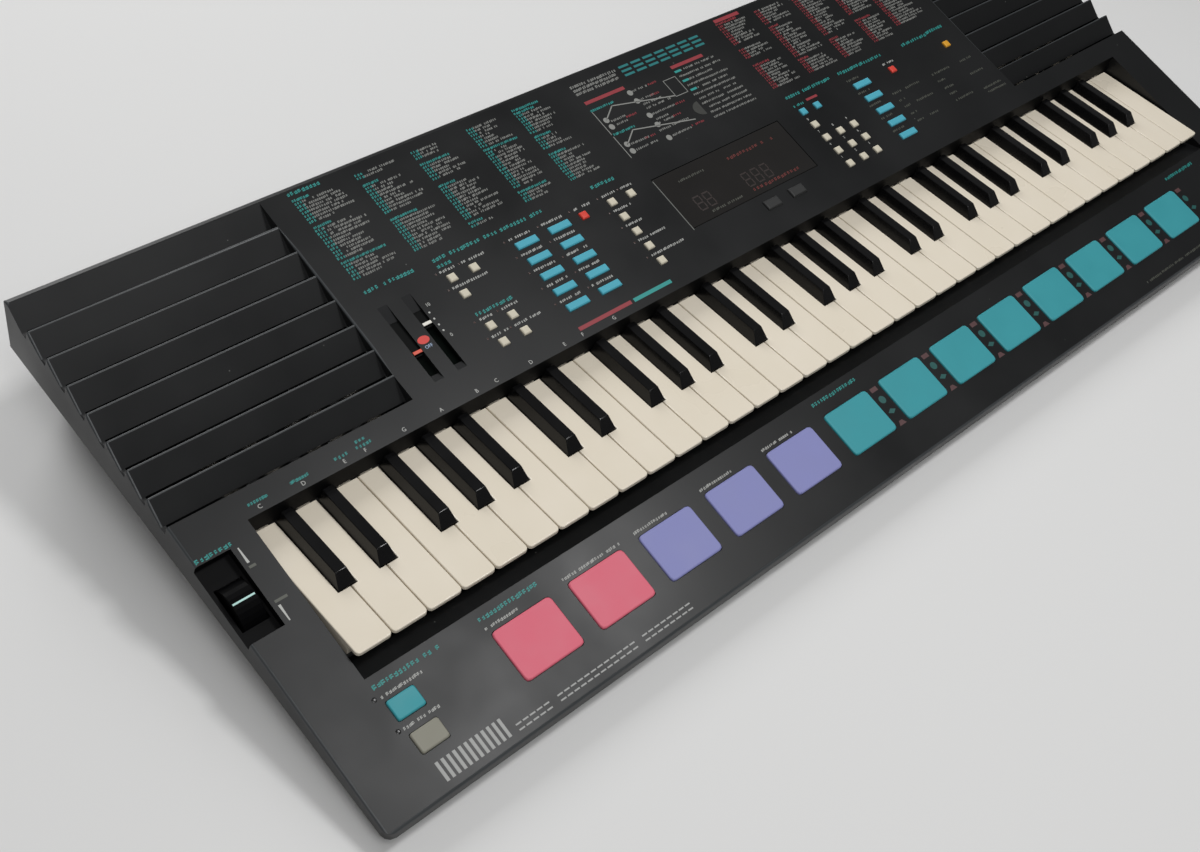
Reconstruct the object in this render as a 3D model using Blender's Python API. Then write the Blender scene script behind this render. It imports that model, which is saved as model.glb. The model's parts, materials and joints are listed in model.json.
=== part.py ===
"""Portable electronic keyboard with small keys, drum pads, sliders and louvred speaker grilles.

Units are metres. +X is the player's right, +Y the rear and +Z up. The origin is on the table
under the middle of the case.
"""

import math

import bmesh
import bpy

# Case
CHEEK_WIDTH = 0.033
CONTROL_DEPTH = 0.1443
FRONT_HEIGHT = 0.0133
PANEL_TILT = math.radians(12.7)
WALL = 0.0025
CORNER_RADIUS = 0.0045
EDGE_RADIUS = 0.0012
REAR_ROUNDING = 0.0037
SEAM = 0.0003
FOOT_HEIGHT = 0.0025
FOOT_RADIUS = 0.007
SEAM_HEIGHT_FRONT = 0.008
SEAM_HEIGHT_REAR = 0.0477
SIDE_UNDERCUT = math.radians(30)
FRONT_UNDERCUT = math.radians(50)

# Keyboard
WHITE_KEYS = 36
OCTAVES = 5
KEY_PITCH = 0.0195
KEY_GAP = 0.0006
KEY_TOP = 0.034
KEY_SETBACK = 0.0664
KEY_LENGTH = 0.078
KEY_HEIGHT = 0.008
KEY_PLATE = 0.002
KEY_WALL = 0.0014
KEY_CORNER = 0.0022
KEY_LIP = 0.007
KEY_TRAVEL = math.radians(2.2)
BLACK_WIDTH = 0.0096
BLACK_TOP_WIDTH = 0.005
BLACK_HEIGHT = 0.0061
BLACK_START = 0.031
BLACK_SLOPE = 0.0052
BLACK_OFFSETS = {"C": -0.0015, "D": 0.0015, "F": -0.0026, "G": 0.0, "A": 0.0026}
SIDE_CLEARANCE = 0.0004
OPENING_MARGIN = 0.0015
RAMP_LENGTH = 0.0125
RAMP_REACH = 0.0078
RAMP_FALL = math.radians(20)
WALL_CLEARANCE = 0.0008

# Key action
PIVOT_REACH = 0.112
PIVOT_DROP = 0.005
BEAD_RADIUS = 0.0015
HOOK_CLEARANCE = 0.0003
HOOK_WALL = 0.0018
HOOK_OPENING = math.radians(100)
ARM_THICKNESS = 0.003
WHITE_ARM_THICKNESS = 0.0015
WHITE_ARM_WIDTH = 0.007
BLACK_ARM_WIDTH = 0.005
COMB_RAIL_SETBACK = 0.003
COMB_RAIL_LENGTH = 0.006
COMB_RAIL_HEIGHT = 0.003
COMB_RAIL_CLEARANCE = 0.0013
FRAME_PLATE = 0.002
FRAME_CLEARANCE = 0.006
FRAME_SETBACK = 0.009
GUIDE_WIDTH = 0.005
GUIDE_LENGTH = 0.006
GUIDE_REACH = 0.014
STOP_REACH = 0.024
STOP_LENGTH = 0.004
BOARD_THICKNESS = 0.0016
CONTACT_BOARD_REACH = 0.050
CONTACT_BOARD_LENGTH = 0.025

# Louvre grilles
LOUVRE_PITCH = 0.0162
LOUVRE_WIDTH = 0.1333
LOUVRE_RUN = 0.0127
LOUVRE_DROP = 0.0064
SLAT_THICKNESS = 0.0028
LOUVRE_RIM = 0.0042
LOUVRE_SETBACK = 0.012
RIB_DEPTH = 0.0105
RIB_WIDTH = 0.0016

# Speakers
SPEAKER_RADIUS = 0.046
SPEAKER_DEPTH = 0.032
SPEAKER_SEGMENTS = 24

# Pads and buttons, placed on the panel by their distance up the slope from the front edge
PAD_COUNTS = {"start_pads": 2, "fill_in_pads": 3, "percussion_pads": 8}
PAD_WIDTH = 0.035
PAD_LENGTH = 0.0273
PAD_PITCH = 0.0459
PAD_DISTANCE = 0.0334
PAD_RADIUS = 0.0022
PAD_RISE = 0.001
BUTTON_ROWS = 5
ROW_DISTANCE = 0.2104
ROW_PITCH = 0.01087
SMALL_SIZE = (0.0048, 0.0046)
OBLONG_SIZE = (0.0144, 0.0044)
DRUMMER_SIZE = (0.015, 0.0103)
DISPLAY_KEY_SIZE = (0.0115, 0.0062)
BUTTON_RADIUS = 0.0012
BUTTON_RISE = 0.0012
BUTTON_TRAVEL = 0.0008
BUTTON_CLEARANCE = 0.0003
CAP_CHAMFER = 0.0005
WEB_THICKNESS = 0.0012
WEB_MARGIN = 0.0025
DRUMMER_INSET = 0.0402
DRUMMER_DISTANCES = (0.0419, 0.0248)
MODE_X = -0.1896
EFFECT_X = -0.0771
SMALL_STEP = 0.0144
CHORD_X = -0.1393
MELODY_X = -0.1161
RECORD_X = -0.0983
KEYPAD_X = 0.084
KEYPAD_STEP = 0.013
SELECT_X = 0.1407
STOP_BUTTON_X = 0.1715
TUNE_BUTTON_X = 0.2289
DISPLAY_KEY_X = (0.0134, 0.0349)

# Display
DISPLAY_X = 0.0084
DISPLAY_DISTANCE = 0.1938
DISPLAY_WIDTH = 0.1068
DISPLAY_LENGTH = 0.037
DISPLAY_THICKNESS = 0.0012
DISPLAY_LEDGE = 0.003

# Slide controls
SLOT_WIDTH = 0.0058
SLOT_LENGTH = 0.048
SLOT_DISTANCE = 0.1887
SLOT_RAMP_REAR = 0.010
SLOT_RAMP_FRONT = 0.004
POWER_X = -0.2325
VOLUME_X = -0.218
POWER_MARK = 0.1827
VOLUME_MARK = 0.1942
SLIDER_WIDTH = 0.008
SLIDER_LENGTH = 0.032
SLIDER_THICKNESS = 0.0015
SLIDER_SKIN = 0.0013
TRACK_FRONT = 0.0222
TRACK_LENGTH = 0.070
TRACK_MARGIN = 0.005
MARK_LENGTH = 0.0018
MARK_RISE = 0.0003

# Pitch wheel
WHEEL_RADIUS = 0.0125
WHEEL_WIDTH = 0.0125
WHEEL_INSET = 0.0029
WHEEL_DISTANCE = 0.1173
WHEEL_RISE = 0.0005
WHEEL_SWEEP = math.radians(160)
WHEEL_CHAMFER = 0.0006
WHEEL_HUB_RADIUS = 0.0032
WHEEL_DISH_RADIUS = 0.0095
WHEEL_DISH_DEPTH = 0.0012
WHEEL_RUNNING_GAP = 0.0008
AXLE_RADIUS = 0.0015
AXLE_LENGTH = 0.006
AXLE_CLEARANCE = 0.0003
BEARING_LENGTH = 0.010
RECESS_WIDTH = 0.0175
RECESS_FRONT = 0.0188
RECESS_REAR = 0.0227
RECESS_DEPTH = 0.005

# Circuit board under the panel
PANEL_BOARD_GAP = 0.0042
PANEL_BOARD_LENGTH = 0.064
PANEL_BOARD_DISTANCE = 0.198
PANEL_BOARD_DEPTH = 0.0074

# Battery bay and rear sockets
BAY_WIDTH = 0.190
BAY_LENGTH = 0.070
BAY_CLEARANCE = 0.0124
BAY_HEIGHT = 0.0375
BAY_LEDGE = 0.002
DOOR_THICKNESS = 0.0022
DOOR_GAP = 0.0004
GRIP_INSET = 0.006
GRIP_WIDTH = 0.03
SOCKET_BLOCK = (0.110, 0.236)
SOCKET_BLOCK_LENGTH = 0.012
SOCKET_HEIGHT = 0.026
SOCKET_DEPTH = 0.009
SOCKETS = ((0.126, 0.0072), (0.150, 0.0072), (0.174, 0.0033), (0.197, 0.0033), (0.220, 0.0031))

# Screw posts and supports
POST_RADIUS = 0.0035
SCREW_RADIUS = 0.002
SCREW_SEAT = 0.003
FRONT_POST_INSET = 0.0125
REAR_POST_INSET = 0.008
CORNER_POST_INSET = 0.012
OUTER_REAR_POST = 0.240
INNER_REAR_POST = 0.115
FRAME_POSTS = (-0.33, -0.11, 0.11, 0.33)
BOARD_POSTS = (-0.205, -0.05, 0.075, 0.205)

# Worked out from the values above
CASE_WIDTH = WHITE_KEYS * KEY_PITCH + 2 * CHEEK_WIDTH
CASE_DEPTH = KEY_SETBACK + KEY_LENGTH + CONTROL_DEPTH
FRONT_Y = -CASE_DEPTH / 2
REAR_Y = CASE_DEPTH / 2
HALF_WIDTH = CASE_WIDTH / 2
PANEL_LENGTH = CASE_DEPTH / math.cos(PANEL_TILT)
FLOOR_TOP = FOOT_HEIGHT + WALL
KEY_FRONT_Y = FRONT_Y + KEY_SETBACK
OPENING_HALF = WHITE_KEYS * KEY_PITCH / 2 + OPENING_MARGIN
OPENING_REAR_Y = KEY_FRONT_Y + KEY_LENGTH
PIVOT_Y = KEY_FRONT_Y + PIVOT_REACH
PIVOT_Z = KEY_TOP - PIVOT_DROP
BAY_Y = PIVOT_Y + POST_RADIUS + BAY_CLEARANCE + BAY_LENGTH / 2
KEY_BOTTOM = KEY_TOP - KEY_HEIGHT
FRAME_TOP = KEY_BOTTOM - FRAME_CLEARANCE
RAMP_FRONT_Y = KEY_FRONT_Y - RAMP_REACH
KEYS_END = (KEY_SETBACK + KEY_LENGTH) / math.cos(PANEL_TILT)
LOUVRE_REAR = PANEL_LENGTH - LOUVRE_RIM
LOUVRE_SLATS = int((LOUVRE_REAR - KEYS_END - LOUVRE_SETBACK) / LOUVRE_PITCH)
LOUVRE_FRONT = LOUVRE_REAR - LOUVRE_SLATS * LOUVRE_PITCH
LOUVRE_INNER = HALF_WIDTH - LOUVRE_WIDTH
PANEL_BOARD_WIDTH = 2 * (LOUVRE_INNER - WALL - PANEL_BOARD_GAP)
WEB_TOP = -WALL - BUTTON_CLEARANCE
WHITE_NOTES = "CDEFGAB"
SMOOTH_ANGLE = math.radians(35)


# Small helpers

def panel_z(y):
    """Height of the panel's surface above the table."""
    return FRONT_HEIGHT + (y - FRONT_Y) * math.tan(PANEL_TILT)


def seam_z(y):
    """Height of the seam between the two case halves."""
    share = (y - FRONT_Y) / CASE_DEPTH
    return SEAM_HEIGHT_FRONT + (SEAM_HEIGHT_REAR - SEAM_HEIGHT_FRONT) * share


def row(number):
    """Distance up the panel of a button row, counted from the rear one."""
    return ROW_DISTANCE - number * ROW_PITCH


def along_x(y, z, x):
    return (x, y, z)


def along_z(x, y, z):
    return (x, y, z)


def rectangle(low_a, high_a, low_b, high_b):
    return [(low_a, low_b), (high_a, low_b), (high_a, high_b), (low_a, high_b)]


def centred(x, y, width, length):
    return rectangle(x - width / 2, x + width / 2, y - length / 2, y + length / 2)


def arc(centre, radius, start, end, segments):
    steps = [start + (end - start) * i / segments for i in range(segments + 1)]
    return [(centre[0] + radius * math.cos(a), centre[1] + radius * math.sin(a)) for a in steps]


def circle(centre, radius, segments):
    return arc(centre, radius, 0, math.tau, segments)[:-1]


def rounded(x, y, width, length, radius, segments=2):
    """Outline of a rectangle about (x, y) with round corners."""
    points = []
    corners = ((1, 1, 0), (-1, 1, 1), (-1, -1, 2), (1, -1, 3))
    for side_x, side_y, turn in corners:
        centre = (x + side_x * (width / 2 - radius), y + side_y * (length / 2 - radius))
        start = turn * math.pi / 2
        points += arc(centre, radius, start, start + math.pi / 2, segments)
    return points


def add_rings(bm, rings):
    """A closed solid through rings of points, one ring after another, with both ends capped."""
    loops = [[bm.verts.new(point) for point in ring] for ring in rings]
    for lower, upper in zip(loops, loops[1:]):
        for i in range(len(lower)):
            j = (i + 1) % len(lower)
            bm.faces.new((lower[i], lower[j], upper[j], upper[i]))
    bm.faces.new(loops[0])
    bm.faces.new(loops[-1])


def add_prism(bm, outline, low, high, place):
    add_rings(bm, [[place(a, b, low) for a, b in outline], [place(a, b, high) for a, b in outline]])


def finished(bm, name):
    bmesh.ops.recalc_face_normals(bm, faces=bm.faces)
    mesh = bpy.data.meshes.new(name)
    bm.to_mesh(mesh)
    bm.free()
    return mesh


def prisms(name, shapes, place):
    """One mesh of separate prisms, each given as (outline, low, high)."""
    bm = bmesh.new()
    for outline, low, high in shapes:
        add_prism(bm, outline, low, high, place)
    return finished(bm, name)


def material(name, colour, roughness, metallic=0.0):
    made = bpy.data.materials.new(name)
    made.use_nodes = True
    shader = made.node_tree.nodes["Principled BSDF"]
    shader.inputs["Base Color"].default_value = (*colour, 1.0)
    shader.inputs["Roughness"].default_value = roughness
    shader.inputs["Metallic"].default_value = metallic
    return made


def empty(name, location=(0, 0, 0), tilt=0.0):
    made = bpy.data.objects.new(name, None)
    made.location = location
    made.rotation_euler.x = tilt
    bpy.context.collection.objects.link(made)
    return made


def piece(name, mesh, finish, parent, location=(0, 0, 0)):
    """A visible sub-part."""
    made = bpy.data.objects.new(name, mesh)
    if not mesh.materials:
        mesh.materials.append(finish)
    made.parent = parent
    made.location = location
    bpy.context.collection.objects.link(made)
    return made


def tool(name, mesh, parent, location=(0, 0, 0)):
    """A hidden solid that a Boolean cuts away or joins on."""
    made = bpy.data.objects.new(name, mesh)
    made.parent = parent
    made.location = location
    made.hide_render = True
    made.display_type = "WIRE"
    bpy.context.collection.objects.link(made)
    return made


def boolean(target, operation, other):
    modifier = target.modifiers.new(other.name, "BOOLEAN")
    modifier.operation = operation
    modifier.solver = "EXACT"
    modifier.object = other


def applied(target, tools):
    """The target's evaluated mesh, with the target and its tools removed from the scene."""
    graph = bpy.context.evaluated_depsgraph_get()
    mesh = bpy.data.meshes.new_from_object(target.evaluated_get(graph))
    for obj in (target, *tools):
        bpy.data.objects.remove(obj)
    return mesh


def smooth(mesh):
    mesh.shade_smooth()
    mesh.set_sharp_from_angle(angle=SMOOTH_ANGLE)


# Upper case

def case_block(inset, bottom):
    """Side outline of the case, set in by a wall, from a bottom line up to the panel."""
    front = FRONT_Y + inset
    rear = REAR_Y - inset
    drop = inset / math.cos(PANEL_TILT)
    return [
        (front, bottom(front)),
        (rear, bottom(rear)),
        (rear, panel_z(rear) - drop),
        (front, panel_z(front) - drop),
    ]


def bevelled_case_mesh():
    """The outer block, with its upright corners and its top edges marked for the bevel."""
    bm = bmesh.new()
    add_prism(bm, case_block(0, seam_z), -HALF_WIDTH, HALF_WIDTH, along_x)
    weights = bm.edges.layers.float.new("bevel_weight_edge")
    for edge in bm.edges:
        ends = [vert.co for vert in edge.verts]
        upright = ends[0].z != ends[1].z and abs(ends[0].y - ends[1].y) < 1e-6
        on_top = all(point.z > panel_z(point.y) - 1e-6 for point in ends)
        if upright and ends[0].y < 0:
            edge[weights] = 1.0
        elif on_top and ends[0].y > 0 and ends[1].y > 0:
            edge[weights] = REAR_ROUNDING / CORNER_RADIUS
        elif upright or on_top:
            edge[weights] = EDGE_RADIUS / CORNER_RADIUS
    return finished(bm, "upper_case")


def key_surround():
    """Walls round the key opening and the ramp that runs down under the key fronts."""
    bottom = FRAME_TOP + WALL / 2
    side = [
        (RAMP_FRONT_Y, bottom),
        (OPENING_REAR_Y + WALL, bottom),
        (OPENING_REAR_Y + WALL, panel_z(OPENING_REAR_Y) - WALL / 2),
        (RAMP_FRONT_Y, panel_z(RAMP_FRONT_Y) - WALL / 2),
    ]
    rear = rectangle(
        OPENING_REAR_Y, OPENING_REAR_Y + WALL, KEY_TOP + WALL_CLEARANCE, panel_z(OPENING_REAR_Y) - WALL / 2
    )
    top = panel_z(RAMP_FRONT_Y)
    ramp_rear_y = RAMP_FRONT_Y + RAMP_LENGTH
    foot = top - RAMP_LENGTH * math.tan(RAMP_FALL)
    ramp_start = panel_z(RAMP_FRONT_Y - WALL) - SEAM
    ramp = [
        (RAMP_FRONT_Y - WALL, ramp_start),
        (ramp_rear_y, foot),
        (ramp_rear_y, foot - WALL),
        (RAMP_FRONT_Y - WALL, ramp_start - 1.5 * WALL),
    ]
    outer = OPENING_HALF + WALL
    shapes = [(side, OPENING_HALF, outer), (side, -outer, -OPENING_HALF)]
    walls = prisms("surround_walls", shapes, along_x)
    rear_wall = prisms("rear_wall", [(rear, -outer, outer)], along_x)
    ramp_plate = prisms("ramp", [(ramp, -outer, outer)], along_x)
    return walls, rear_wall, ramp_plate


def louvre_slats_mesh():
    """Sloping slats that start inside the skin, with a little to spare for the cut above them."""
    spare = 0.0003
    start = WALL / 2
    shapes = []
    for side in (-1, 1):
        inner, outer = sorted((side * (LOUVRE_INNER - WALL / 2), side * (HALF_WIDTH - WALL / 2)))
        for i in range(LOUVRE_SLATS):
            top = LOUVRE_REAR - i * LOUVRE_PITCH
            foot = top - LOUVRE_RUN
            slat = [
                (top + spare, -start),
                (top + spare, -SLAT_THICKNESS),
                (foot, -LOUVRE_DROP - SLAT_THICKNESS),
                (foot, -LOUVRE_DROP + spare),
                (top - (start + spare) * LOUVRE_RUN / LOUVRE_DROP, -start),
            ]
            shapes.append((slat, inner, outer))
    return prisms("louvre_slats", shapes, along_x)


def louvre_wall_outline(top):
    """Side outline of the walls under a grille, whose rear end lies inside the case's rear wall."""
    front = LOUVRE_FRONT - WALL / 2
    rear = PANEL_LENGTH - WALL / 2
    lean = math.tan(PANEL_TILT)
    return [
        (front, -RIB_DEPTH),
        (rear - RIB_DEPTH * lean, -RIB_DEPTH),
        (rear - top * lean, -top),
        (front, -top),
    ]


def louvre_ribs_mesh():
    shapes = []
    for side in (-1, 1):
        for share in (1 / 3, 2 / 3):
            x = side * (LOUVRE_INNER + share * LOUVRE_WIDTH)
            rib = louvre_wall_outline(LOUVRE_DROP + SLAT_THICKNESS / 2)
            shapes.append((rib, x - RIB_WIDTH / 2, x + RIB_WIDTH / 2))
    return prisms("louvre_ribs", shapes, along_x)


def louvre_ends_mesh():
    shapes = []
    reach = LOUVRE_INNER - WALL
    for side in (-1, 1):
        low, high = sorted((side * reach, side * (LOUVRE_INNER + WALL / 4)))
        shapes.append((louvre_wall_outline(WALL / 2), low, high))
    return prisms("louvre_inner_ends", shapes, along_x)


def louvre_fronts_mesh():
    shapes = []
    for side in (-1, 1):
        wall = rectangle(LOUVRE_FRONT - WALL, LOUVRE_FRONT + WALL / 4, -RIB_DEPTH - SEAM, -WALL / 2)
        low, high = sorted((side * (LOUVRE_INNER - WALL / 2), side * (HALF_WIDTH - WALL / 2)))
        shapes.append((wall, low, high))
    return prisms("louvre_front_ends", shapes, along_x)


def louvre_air_mesh():
    """The sawtooth space over the slats of both grilles."""
    above = 0.003
    beyond = 0.004
    outline = [(LOUVRE_REAR, above)]
    for i in range(LOUVRE_SLATS):
        top = LOUVRE_REAR - i * LOUVRE_PITCH
        outline += [(top, 0), (top - LOUVRE_RUN, -LOUVRE_DROP), (top - LOUVRE_PITCH, -LOUVRE_DROP)]
    outline.append((LOUVRE_FRONT, above))
    shapes = [
        (outline, LOUVRE_INNER, HALF_WIDTH + beyond),
        (outline, -HALF_WIDTH - beyond, -LOUVRE_INNER),
    ]
    return prisms("louvre_air", shapes, along_x)


def wheel_left_x():
    return -HALF_WIDTH + WHEEL_INSET


def wheel_axle():
    """Middle of the wheel's axle, as distance up the panel and height over it."""
    return WHEEL_DISTANCE, WHEEL_RISE - WHEEL_RADIUS


def wheel_block_mesh():
    """Floor and walls of the recess that the pitch wheel stands in."""
    start = WHEEL_DISTANCE - RECESS_FRONT
    end = WHEEL_DISTANCE + RECESS_REAR
    outline = rectangle(start - WALL, end + WALL, -RECESS_DEPTH - WALL, -WALL / 2)
    low = -HALF_WIDTH + WALL / 2
    return prisms("wheel_block", [(outline, low, -HALF_WIDTH + RECESS_WIDTH + WALL)], along_x)


def bearing_block_mesh():
    """Block right of the wheel that holds its axle."""
    distance, height = wheel_axle()
    half = BEARING_LENGTH / 2
    bottom = height - AXLE_RADIUS - AXLE_CLEARANCE - WALL / 2
    outline = rectangle(distance - half, distance + half, bottom, -WALL / 2)
    low = wheel_left_x() + WHEEL_WIDTH
    high = low + WHEEL_RUNNING_GAP + AXLE_LENGTH + WALL / 2
    return prisms("bearing_block", [(outline, low, high)], along_x)


def wheel_space_mesh():
    """The recess, open at the top and at the left side, and the round well in its floor."""
    start = WHEEL_DISTANCE - RECESS_FRONT
    end = WHEEL_DISTANCE + RECESS_REAR
    inner = -HALF_WIDTH + RECESS_WIDTH
    recess = rectangle(start, end, -RECESS_DEPTH, WALL)
    return prisms("wheel_recess", [(recess, -HALF_WIDTH - WALL, inner)], along_x)


def wheel_well_mesh():
    low = wheel_left_x() - WHEEL_RUNNING_GAP
    high = wheel_left_x() + WHEEL_WIDTH + WHEEL_RUNNING_GAP
    well = circle(wheel_axle(), WHEEL_RADIUS + WHEEL_RUNNING_GAP, 24)
    return prisms("wheel_well", [(well, low, high)], along_x)


def wheel_bore_mesh():
    low = wheel_left_x() + WHEEL_WIDTH
    high = low + AXLE_LENGTH + WHEEL_RUNNING_GAP
    bore = circle(wheel_axle(), AXLE_RADIUS + AXLE_CLEARANCE, 16)
    return prisms("wheel_bore", [(bore, low, high)], along_x)


def slider_slots_mesh():
    """Both slots, with a ramp at each end."""
    top = 0.001
    front = SLOT_DISTANCE - SLOT_LENGTH / 2
    rear = SLOT_DISTANCE + SLOT_LENGTH / 2
    slope_front = SLOT_RAMP_FRONT / SLIDER_SKIN
    slope_rear = SLOT_RAMP_REAR / SLIDER_SKIN
    below = SLIDER_SKIN + top
    outline = [
        (front - top * slope_front, top),
        (front + below * slope_front, -below),
        (rear - below * slope_rear, -below),
        (rear + top * slope_rear, top),
    ]
    shapes = [(outline, x - SLOT_WIDTH / 2, x + SLOT_WIDTH / 2) for x in (POWER_X, VOLUME_X)]
    return prisms("slider_slots", shapes, along_x)


def slider_track_mesh():
    """Thinner skin over the travel of both sliders."""
    start = SLOT_DISTANCE - TRACK_FRONT
    end = start + TRACK_LENGTH
    outline = rectangle(start, end, -2 * WALL, -SLIDER_SKIN)
    return prisms("slider_track", [(outline, POWER_X - TRACK_MARGIN, VOLUME_X + TRACK_MARGIN)], along_x)


def button_groups():
    """Caps of each moulded button strip, as (x, distance up the panel, size)."""
    columns = range(3)
    small_left = [(MODE_X, 0), (MODE_X, 1), (MODE_X + SMALL_STEP, 0)]
    small_left += [(MODE_X + i * SMALL_STEP, number) for i in range(2) for number in (3, 4)]
    small_left += [(EFFECT_X, number) for number in range(BUTTON_ROWS)]
    small_left.append((EFFECT_X + SMALL_STEP, 0))
    oblong_left = [(x, number) for x in (CHORD_X, MELODY_X) for number in range(BUTTON_ROWS)]
    small_right = [(KEYPAD_X, 0), (KEYPAD_X + KEYPAD_STEP, 0), (KEYPAD_X, 1)]
    small_right += [(KEYPAD_X + i * KEYPAD_STEP, number) for i in columns for number in (2, 3, 4)]
    small_right += [(STOP_BUTTON_X, 0), (TUNE_BUTTON_X, 0)]
    oblong_right = [(SELECT_X, number) for number in range(BUTTON_ROWS)]
    display_keys = [(x, BUTTON_ROWS - 1) for x in DISPLAY_KEY_X]
    drummer_x = DRUMMER_INSET - HALF_WIDTH

    def caps(places, size):
        return [(x, row(number), size) for x, number in places]

    return {
        "left_function_buttons": caps(small_left, SMALL_SIZE),
        "song_memory_buttons": caps(oblong_left, OBLONG_SIZE) + caps([(RECORD_X, 0)], SMALL_SIZE),
        "right_function_buttons": caps(small_right, SMALL_SIZE)
        + caps(oblong_right, OBLONG_SIZE)
        + caps(display_keys, DISPLAY_KEY_SIZE),
        "drummer_buttons": [(drummer_x, distance, DRUMMER_SIZE) for distance in DRUMMER_DISTANCES],
    }


def pad_groups():
    """Pad centres of each group, left to right, all at one pitch about the middle of the case."""
    total = sum(PAD_COUNTS.values())
    xs = [(i - (total - 1) / 2) * PAD_PITCH for i in range(total)]
    groups = {}
    for name, count in PAD_COUNTS.items():
        groups[name] = [(x, PAD_DISTANCE, (PAD_WIDTH, PAD_LENGTH)) for x in xs[:count]]
        xs = xs[count:]
    return groups


def cap_outline(x, distance, size, radius, inset):
    """Outline of a cap, set in from its size. Only the larger caps have round corners."""
    width, length = (side - 2 * inset for side in size)
    if size[1] < DRUMMER_SIZE[1]:
        return centred(x, distance, width, length)
    return rounded(x, distance, width, length, radius)


def button_holes_mesh():
    shapes = []
    for groups, radius in ((button_groups(), BUTTON_RADIUS), (pad_groups(), PAD_RADIUS)):
        for caps in groups.values():
            for x, distance, size in caps:
                outline = cap_outline(x, distance, size, radius, -BUTTON_CLEARANCE)
                shapes.append((outline, -2 * WALL, WALL))
    return prisms("button_holes", shapes, along_z)


def display_pocket_mesh():
    width = DISPLAY_WIDTH + 2 * BUTTON_CLEARANCE
    length = DISPLAY_LENGTH + 2 * BUTTON_CLEARANCE
    outline = centred(DISPLAY_X, DISPLAY_DISTANCE, width, length)
    return prisms("display_pocket", [(outline, -DISPLAY_THICKNESS - SEAM, WALL)], along_z)


def display_hole_mesh():
    width = DISPLAY_WIDTH - 2 * DISPLAY_LEDGE
    length = DISPLAY_LENGTH - 2 * DISPLAY_LEDGE
    outline = centred(DISPLAY_X, DISPLAY_DISTANCE, width, length)
    return prisms("display_hole", [(outline, -2 * WALL, WALL)], along_z)


def screw_posts():
    corner = HALF_WIDTH - CORNER_POST_INSET
    front_xs = (-corner, -corner / 2, 0, corner / 2, corner)
    rear_xs = (-OUTER_REAR_POST, -INNER_REAR_POST, 0, OUTER_REAR_POST)
    places = [(x, FRONT_Y + FRONT_POST_INSET) for x in front_xs]
    return places + [(x, REAR_Y - REAR_POST_INSET) for x in rear_xs]


def upper_posts_mesh():
    shapes = []
    for x, y in screw_posts():
        foot = seam_z(y) + SCREW_SEAT
        shapes.append((circle((x, y), POST_RADIUS, 12), foot, panel_z(y) - WALL / 2))
    return prisms("upper_posts", shapes, along_z)


def board_posts_mesh():
    shapes = []
    for x in BOARD_POSTS:
        outline = circle((x, PANEL_BOARD_DISTANCE + PANEL_BOARD_LENGTH / 2 - POST_RADIUS), POST_RADIUS, 8)
        shapes.append((outline, -PANEL_BOARD_DEPTH + SEAM, -WALL / 2))
    return prisms("board_posts", shapes, along_z)


def build_upper_case(case, panel, finish):
    upper = piece("upper_case", bevelled_case_mesh(), finish, case)
    bevel = upper.modifiers.new("rounded edges", "BEVEL")
    bevel.limit_method = "WEIGHT"
    bevel.width = CORNER_RADIUS
    bevel.segments = 3
    inner = case_block(WALL, lambda y: -WALL)
    cavity = prisms("cavity", [(inner, -HALF_WIDTH + WALL, HALF_WIDTH - WALL)], along_x)
    boolean(upper, "DIFFERENCE", tool("case_cavity", cavity, case))
    opening = rectangle(-OPENING_HALF, OPENING_HALF, RAMP_FRONT_Y, OPENING_REAR_Y)
    opening_mesh = prisms("key_opening", [(opening, KEY_BOTTOM - WALL, panel_z(REAR_Y))], along_z)
    boolean(upper, "DIFFERENCE", tool("key_opening", opening_mesh, case))
    walls, rear_wall, ramp = key_surround()
    boolean(upper, "UNION", tool("surround_walls", walls, case))
    boolean(upper, "UNION", tool("rear_wall", rear_wall, case))
    boolean(upper, "UNION", tool("ramp", ramp, case))
    boolean(upper, "UNION", tool("upper_posts", upper_posts_mesh(), case))
    boolean(upper, "UNION", tool("board_posts", board_posts_mesh(), panel))
    boolean(upper, "UNION", tool("louvre_slats", louvre_slats_mesh(), panel))
    boolean(upper, "UNION", tool("louvre_ribs", louvre_ribs_mesh(), panel))
    boolean(upper, "UNION", tool("louvre_inner_ends", louvre_ends_mesh(), panel))
    boolean(upper, "UNION", tool("louvre_front_ends", louvre_fronts_mesh(), panel))
    boolean(upper, "DIFFERENCE", tool("louvre_air", louvre_air_mesh(), panel))
    boolean(upper, "UNION", tool("wheel_block", wheel_block_mesh(), panel))
    boolean(upper, "UNION", tool("bearing_block", bearing_block_mesh(), panel))
    boolean(upper, "DIFFERENCE", tool("wheel_recess", wheel_space_mesh(), panel))
    boolean(upper, "DIFFERENCE", tool("wheel_well", wheel_well_mesh(), panel))
    boolean(upper, "DIFFERENCE", tool("wheel_bore", wheel_bore_mesh(), panel))
    boolean(upper, "DIFFERENCE", tool("slider_track", slider_track_mesh(), panel))
    boolean(upper, "DIFFERENCE", tool("slider_slots", slider_slots_mesh(), panel))
    boolean(upper, "DIFFERENCE", tool("display_pocket", display_pocket_mesh(), panel))
    boolean(upper, "DIFFERENCE", tool("display_hole", display_hole_mesh(), panel))
    boolean(upper, "DIFFERENCE", tool("button_holes", button_holes_mesh(), panel))


# Lower case

def tray_ring(y, inset, bottom, top, front_lean):
    """Section of the lower case across its width, whose sides lean in towards the floor."""
    lean = math.tan(SIDE_UNDERCUT)
    edge = HALF_WIDTH - inset / math.cos(SIDE_UNDERCUT)
    low = edge - (seam_z(y) - bottom) * lean
    high = edge - (seam_z(y) - top) * lean
    foot_y = y + (seam_z(y) - bottom) * front_lean
    return [(-low, foot_y, bottom), (low, foot_y, bottom), (high, y, top), (-high, y, top)]


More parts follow.
